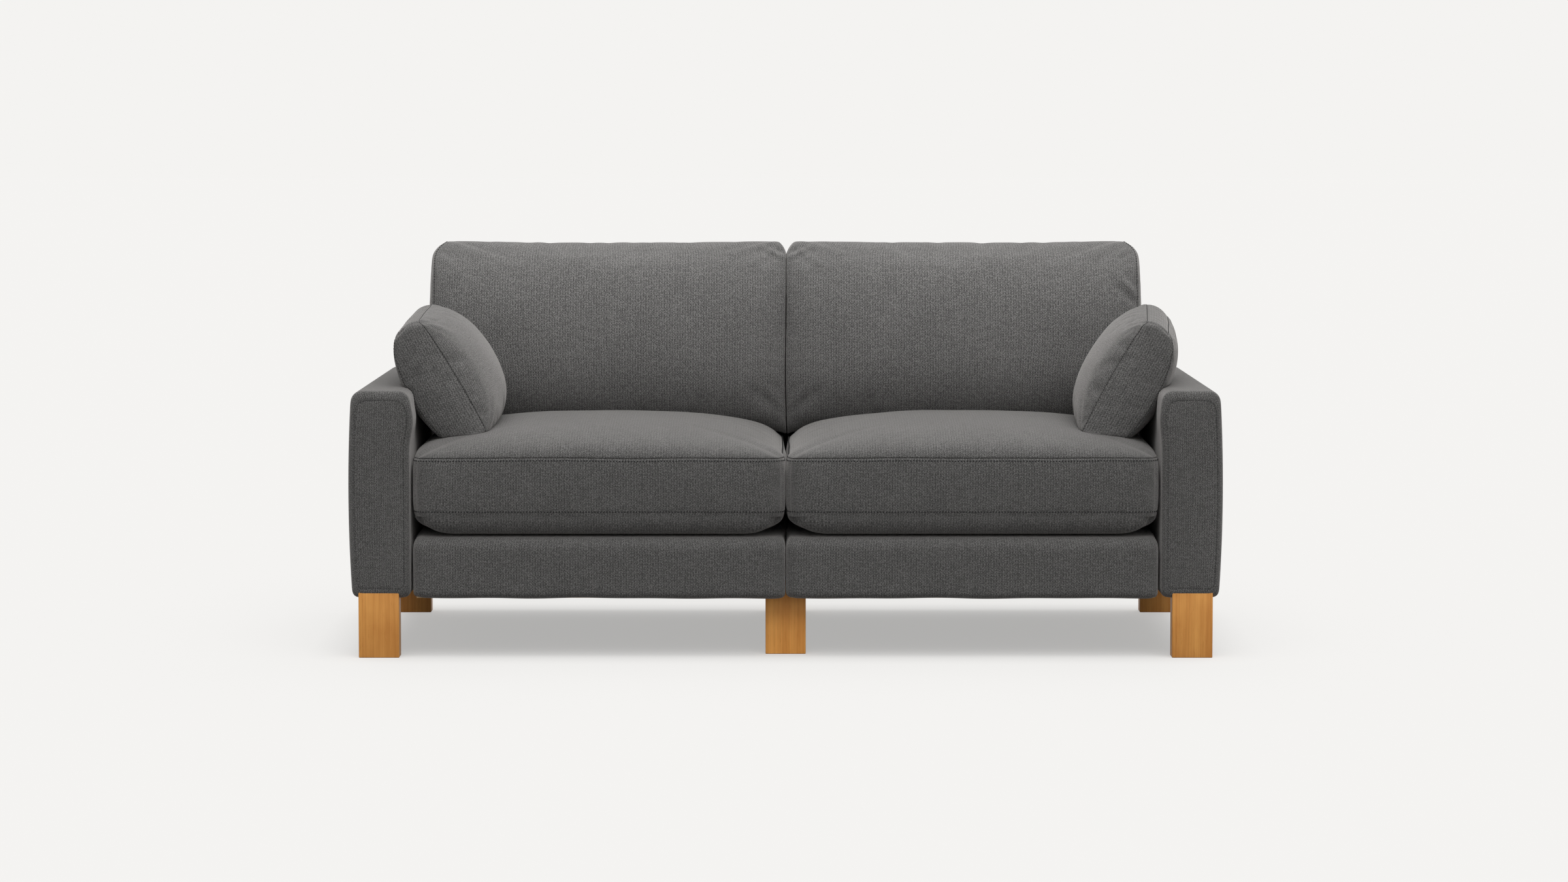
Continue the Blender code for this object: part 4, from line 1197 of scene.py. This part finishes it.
class SOFA_OT_pillows(bpy.types.Operator):
    """Builds the two boxed pillows that lean on the arms"""

    bl_idname = "sofa.pillows"
    bl_label = "Pillows"

    # Its half sizes, the width between its seams, how far that swells, and its corners' radius
    half_y, half_z, boxing, swell, radius = 0.2225, 0.142, 0.052, 0.006, 0.015
    # How far its seams bow out towards the arm and in towards the seat
    bow_out, bow_in, bow_exponent = 0.046, 0.008, 0.55
    # Its middle, and how deep in another piece it can be and still be pushed clear
    middle_y, middle_z, reach = -0.0975, 0.5725, 0.05
    # How each lies: its outer and inner crowns, its distance in from the arm and its turns
    lie = {
        "left": ((0.062, 0.084), 0.057, (2.2, -30.4, 0.0)),
        "right": ((0.071, 0.067), 0.051, (2.2, 29.2, -3.6)),
    }
    # Pinches from the corners: the corner, the way each runs, in degrees, and its length
    pinches = (
        (-1, 1, 18, 0.085),
        (-1, 1, 40, 0.110),
        (-1, 1, 66, 0.080),
        (-1, -1, 25, 0.070),
        (-1, -1, 58, 0.090),
        (1, 1, 30, 0.090),
        (1, 1, 60, 0.070),
        (1, -1, 45, 0.080),
    )
    pinch_width, pinch_depth = 0.0050, 0.0018
    # Its faces and its seams are this much smaller than those of the large cushions
    pitch_share, seam_share = 0.8, 0.8
    crown_share, swelling, wave = 0.95, (0.016, 0.010, 0.25, 0.9), (0.0010, 0.13, 61)
    # A stitch's length, width and sink, and how deep the seam is and how much painted shade darkens it
    stitch, fold = (0.0030, 0.0018, 0.0004), (0.0026, 0.35)

    def execute(self, context):
        for name, side in sides.items():
            self.build(context.scene.sofa_cushions, name, side)
        return {"FINISHED"}

    def build(self, cushions, name, side):
        """Builds one pillow."""
        pitch = cushions.mesh_pitch * self.pitch_share
        arm_face = min(abs(corner.x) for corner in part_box("arm_upholstery_" + name))
        (outer_crown, inner_crown), offset, turns = self.lie[name]
        fuller = max(outer_crown, inner_crown)
        half_y, half_z, boxing = self.half_y, self.half_z, self.boxing
        levels = level_rows((0, boxing), pitch) - boxing / 2
        shape, even, box, along = crowned_grid(
            (levels / boxing * 2, levels),
            even_rows(fuller, 0.5, half_y, pitch),
            even_rows(fuller, 0.5, half_z, pitch),
        )
        a, b, c = box.T
        proud = self.swell * (1 - a**2)
        outward = side * a > 0
        bow = np.where(outward, self.bow_out, self.bow_in)
        across = a * (boxing / 2 + bow * np.clip(1 - c**2, 0, 1) ** self.bow_exponent)
        along[:, 0] = across
        y, z = rounded_square(b, c, half_y + proud, half_z + proud, self.radius)
        face = np.abs(a) > 1 - tiny
        crown = np.where(outward, outer_crown, inner_crown) * self.crown_share - bow
        x = across + np.sign(a) * face * crown * crown_at(b, c, 0.5)
        move_to(shape, np.stack([x, y, z], axis=1))
        map_weave(shape, even, along)

        rims = [rim(even, 0, end) for end in (-1, 1)]
        held = np.where(rims[0] | rims[1], 1.0, 0.0)
        places = padded(shape, held, *self.swelling)
        normals = normals_of(shape)
        places = places + normals * gentle_noise(places, side, *self.wave)[:, None]
        for corner_y, corner_z, turned, length in self.pinches:
            angle = math.radians(turned)
            start = (corner_y * half_y, corner_z * half_z)
            along_y, along_z = length * math.cos(angle), length * math.sin(angle)
            stop = (start[0] - corner_y * along_y, start[1] - corner_z * along_z)
            places = crease(places, normals, start, stop, self.pinch_width, self.pinch_depth, 0)
        turn = Euler([math.radians(angle) for angle in turns]).to_matrix()
        middle = Vector((side * (arm_face - offset), self.middle_y, self.middle_z))
        places = np.array([turn @ Vector(place) + middle for place in places])
        others = [tree_of(bpy.data.objects[key + name]) for key in ("arm_cover_", "seat_pad_", "back_pad_")]
        places = keep_clear(places, others, self.reach)
        move_to(shape, places)
        rows = stitch_rows(places, normals_of(shape), even, 0, rims, *self.stitch)
        seams = loop_of(shape, rims[0] | rims[1])
        fold_in(shape, seams, cushions.seam_width * self.seam_share, *self.fold)
        piece = finished("pillow_" + name, shape, "pillow_cloth_painted_light")
        carried(piece, "cushion_cover", "arm_pillow_" + name)
        add_thread("pillow_stitches_" + name, rows)


# Legs, inner pieces and finishes


class SOFA_OT_legs(bpy.types.Operator):
    """Builds the six plank legs"""

    bl_idname = "sofa.legs"
    bl_label = "Legs"

    # How light the wood is, as a share of its settings' colours: the centre legs are made lighter, as
    # painted light against the shade under the sofa
    centre_shade, corner_shade = 1.5, 1.13
    # How much further each leg's grain is turned and shifted than that of the leg before
    turn, shift = 0.21, (0.37, 0.11, 0.73)

    def execute(self, context):
        wood = context.scene.sofa_wood
        nodes = sorted(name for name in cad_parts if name.startswith("leg_"))
        for number, node in enumerate(nodes):
            low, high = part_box(node)
            shape = bmesh.new()
            bmesh.ops.create_cube(shape, size=1)
            bmesh.ops.scale(shape, vec=high - low, verts=shape.verts)
            bmesh.ops.translate(shape, vec=(low + high) / 2, verts=shape.verts)
            bmesh.ops.bevel(
                shape,
                geom=shape.edges[:],
                offset=wood.edge,
                segments=3,
                profile=0.5,
                affect="EDGES",
                material=-1,
            )
            shade = self.centre_shade if "centre" in node else self.corner_shade
            shift = [number * part for part in self.shift]
            make_oiled_wood(node + "_wood", wood, shade, number * self.turn, shift)
            carried(finished(node + "_plank", shape, node + "_wood", levels=0), "leg_wood", node)
        return {"FINISHED"}


class SOFA_OT_inner_pieces(bpy.types.Operator):
    """Gives the timber, springs, felt, webbing and dust cloth inside their finishes"""

    bl_idname = "sofa.inner_pieces"
    bl_label = "Inner pieces"

    timber = ((0.42, 0.27, 0.13), (0.60, 0.43, 0.25))
    # Each finish: its dark and light colours, how often its flecks repeat along each axis, its
    # roughness and, for steel, how metallic it is
    finishes = {
        "spring_wire": ((0.20, 0.20, 0.21), (0.34, 0.34, 0.35), (60, 60, 60), 0.36, 1.0),
        "grey_felt": ((0.25, 0.24, 0.23), (0.44, 0.43, 0.40), (220, 220, 220), 0.92),
        "woven_webbing": ((0.015, 0.015, 0.016), (0.05, 0.05, 0.052), (500, 500, 500), 0.8),
        "dust_cloth": ((0.010, 0.010, 0.011), (0.026, 0.026, 0.028), (400, 400, 400), 0.92),
        "pressed_board": ((0.20, 0.13, 0.07), (0.38, 0.26, 0.15), (120, 120, 120), 0.85),
        "upright_timber": (*timber, (90, 90, 5), 0.72),
        "lengthwise_timber": (*timber, (90, 5, 90), 0.72),
        "crosswise_timber": (*timber, (5, 90, 90), 0.72),
    }
    # The finish that part of a node's name calls for; any other node is crosswise timber
    uses = {
        "seat_spring": "spring_wire",
        "seat_felt": "grey_felt",
        "back_webbing": "woven_webbing",
        "dust_cover": "dust_cloth",
        "arm_panel": "pressed_board",
        "post": "upright_timber",
        "stile": "upright_timber",
        "arm_bottom_rail": "lengthwise_timber",
        "arm_top_rail": "lengthwise_timber",
        "base_inner_rail": "lengthwise_timber",
        "base_outer_rail": "lengthwise_timber",
    }

    def execute(self, context):
        made = {name: make_flecked(name, *values) for name, values in self.finishes.items()}
        for name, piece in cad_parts.items():
            finish = next((self.uses[part] for part in self.uses if part in name), "crosswise_timber")
            for slot in piece.material_slots:
                slot.material = made[finish]
        return {"FINISHED"}


class SOFA_OT_finishes(bpy.types.Operator):
    """Makes the node groups and the cloth and thread materials"""

    bl_idname = "sofa.finishes"
    bl_label = "Finishes"

    # How light each cloth is, as a share of its settings' colours: the back cushions and the pillows are
    # the same cloth made lighter, as painted light for the stronger light on them
    cloths = {
        "cover_cloth": 0.94,
        "cushion_cloth": 0.94,
        "back_cushion_cloth_painted_light": 1.52,
        "pillow_cloth_painted_light": 1.23,
    }
    threads = {
        "stitch_thread": ((0.002, 0.002, 0.002), (0.006, 0.006, 0.006)),
        "cover_thread": ((0.016, 0.016, 0.016), (0.034, 0.034, 0.034)),
    }
    thread_stretch, thread_roughness = (2000, 2000, 2000), 0.9

    def execute(self, context):
        weave_effect()
        grain_effect()
        fleck_effect()
        for name, shade in self.cloths.items():
            make_cloth(name, context.scene.sofa_cloth, shade)
        for name, colours in self.threads.items():
            make_flecked(name, *colours, self.thread_stretch, self.thread_roughness)
        return {"FINISHED"}


def seen_directly(tree):
    """1 where a ray comes from the camera, a mirror or glass, and 0 where it only carries light."""
    rays = add_node(tree, "LightPath").outputs
    seen = calculate(tree, "MAXIMUM", rays["Is Camera Ray"], rays["Is Glossy Ray"])
    return calculate(tree, "MAXIMUM", seen, rays["Is Transmission Ray"])


class SOFA_OT_stage(bpy.types.Operator):
    """Makes the floor, the even background, the soft light and the camera"""

    bl_idname = "sofa.stage"
    bl_label = "Stage"

    floor_size = 60
    # Shadows show in full up to an inset inside the sofa's box, and fade over a reach to a share
    footprint_inset, shadow_reach, far_shadow = 0.06, 0.16, 0.36
    # How much of the lamps' light the open floor gets, and how bright all its light makes it
    lamp_share, light_share = 0.96, 0.98
    # How light the floor is, as a share of the backdrop, where it only throws light back
    bounce = 0.25

    def execute(self, context):
        stage = context.scene.sofa_stage
        scene = context.scene
        scene.view_settings.view_transform = "Standard"
        self.floor(stage)
        self.background(scene, stage)
        for name, tilt, turn, power, softness in self.lamps(stage):
            lamp = bpy.data.objects.new(name, bpy.data.lights.new(name, "SUN"))
            lamp.data.energy = power
            lamp.data.angle = math.radians(softness)
            lamp.rotation_euler = (math.radians(tilt), 0, math.radians(turn))
            scene.collection.objects.link(lamp)
        camera = bpy.data.objects.new("camera", bpy.data.cameras.new("camera"))
        camera.data.sensor_width = 36
        camera.data.lens = 97.61
        camera.location = (-0.0034, -9.2858, 1.1478)
        camera.rotation_euler = (math.radians(90 - 4.4721), 0, 0)
        scene.collection.objects.link(camera)
        scene.camera = camera
        return {"FINISHED"}

    def lamps(self, stage):
        """Each lamp's name, its tilt from straight down and its turn in degrees, its strength and
        its width in degrees."""
        return (
            ("overhead", 22, 8, stage.key, 70),
            ("front", 55, 10, stage.front, 60),
            ("rear", -32, -6, 0.50 * stage.key, 60),
        )

    def under_sofa(self, tree):
        """How much a shadow shows on the floor: fully under the sofa, and less away from it."""
        place = add_node(tree, "SeparateXYZ", {0: object_place(tree)}).outputs
        away = []
        for here, low, high in zip(place[:2], *cad_box):
            middle, half = (low + high) / 2, (high - low) / 2 - self.footprint_inset
            off = calculate(tree, "ABSOLUTE", calculate(tree, "SUBTRACT", here, middle))
            off = calculate(tree, "MAXIMUM", calculate(tree, "SUBTRACT", off, half), 0.0)
            away.append(calculate(tree, "MULTIPLY", off, off))
        away = calculate(tree, "SQRT", calculate(tree, "ADD", *away))
        return spread(tree, away, 0.0, self.shadow_reach, 1.0, self.far_shadow)

    def floor(self, stage):
        """A floor that shows the backdrop's colour where no shadow falls."""
        shape = bmesh.new()
        bmesh.ops.create_grid(shape, x_segments=1, y_segments=1, size=self.floor_size)
        material = bpy.data.materials.new("floor")
        material.use_nodes = True
        tree = material.node_tree
        tree.nodes.clear()
        lamps = sum(math.cos(math.radians(lamp[1])) * lamp[3] for lamp in self.lamps(stage))
        lit = self.light_share / (self.lamp_share * lamps / math.pi + stage.sky)
        share = calculate(tree, "MULTIPLY", self.under_sofa(tree), stage.floor_light)
        scale = calculate(tree, "MULTIPLY", share, lit)
        tone = add_node(tree, "VectorMath", {0: stage.backdrop, "Scale": scale}, operation="SCALE")
        diffuse = add_node(tree, "BsdfDiffuse", {"Color": tone.outputs[0]})
        rest = calculate(tree, "SUBTRACT", 1.0, share)
        glow = add_node(tree, "Emission", {"Color": (*stage.backdrop, 1), "Strength": rest})
        both = add_node(tree, "AddShader", {0: diffuse.outputs[0], 1: glow.outputs[0]})
        dimmed = (*[self.bounce * part for part in stage.backdrop], 1)
        plain = add_node(tree, "BsdfDiffuse", {"Color": dimmed})
        inputs = {0: seen_directly(tree), 1: plain.outputs[0], 2: both.outputs[0]}
        mixed = add_node(tree, "MixShader", inputs)
        output = add_node(tree, "OutputMaterial", {"Surface": mixed.outputs[0]})
        output.is_active_output = True
        piece = finished("floor", shape, "floor", levels=0)

    def background(self, scene, stage):
        """A world that lights evenly, and that the camera sees in the backdrop's colour."""
        world = bpy.data.worlds.new("studio")
        world.use_nodes = True
        tree = world.node_tree
        tree.nodes.clear()
        light = add_node(tree, "Background", {"Color": (1, 1, 1, 1), "Strength": stage.sky})
        shown = add_node(tree, "Background", {"Color": (*stage.backdrop, 1), "Strength": 1.0})
        inputs = {0: seen_directly(tree), 1: light.outputs[0], 2: shown.outputs[0]}
        mixed = add_node(tree, "MixShader", inputs)
        add_node(tree, "OutputWorld", {"Surface": mixed.outputs[0]})
        scene.world = world


class SOFA_PT_maker(bpy.types.Panel):
    """Lists the sizes, colours and building steps"""

    bl_label = "Sofa"
    bl_idname = "SOFA_PT_maker"
    bl_space_type = "VIEW_3D"
    bl_region_type = "UI"
    bl_category = "Sofa"

    def draw(self, context):
        layout = self.layout
        for group in ("sofa_cloth", "sofa_wood", "sofa_cushions", "sofa_stage"):
            settings = getattr(context.scene, group)
            column = layout.column()
            for name in settings.bl_rna.properties.keys():
                if name not in ("rna_type", "name"):
                    column.prop(settings, name)
        for step in steps:
            layout.operator(step.bl_idname)


settings_groups = {
    "sofa_cloth": ClothSettings,
    "sofa_wood": WoodSettings,
    "sofa_cushions": CushionSettings,
    "sofa_stage": StageSettings,
}
steps = (
    SOFA_OT_stage,
    SOFA_OT_finishes,
    SOFA_OT_inner_pieces,
    SOFA_OT_legs,
    SOFA_OT_arms,
    SOFA_OT_bases,
    SOFA_OT_backs,
    SOFA_OT_back_cushions,
    SOFA_OT_seat_cushions,
    SOFA_OT_pillows,
)


def register():
    """Registers the settings, the steps and the panel."""
    for name, kind in settings_groups.items():
        bpy.utils.register_class(kind)
        setattr(bpy.types.Scene, name, bpy.props.PointerProperty(type=kind))
    for kind in (*steps, SOFA_PT_maker):
        bpy.utils.register_class(kind)


def unregister():
    """Takes back what register did."""
    for kind in (SOFA_PT_maker, *reversed(steps)):
        bpy.utils.unregister_class(kind)
    for name, kind in settings_groups.items():
        delattr(bpy.types.Scene, name)
        bpy.utils.unregister_class(kind)


def main():
    """Builds everything in order."""
    register()
    for step in steps:
        group, name = step.bl_idname.split(".")
        getattr(getattr(bpy.ops, group), name)()


if __name__ == "__main__":
    main()
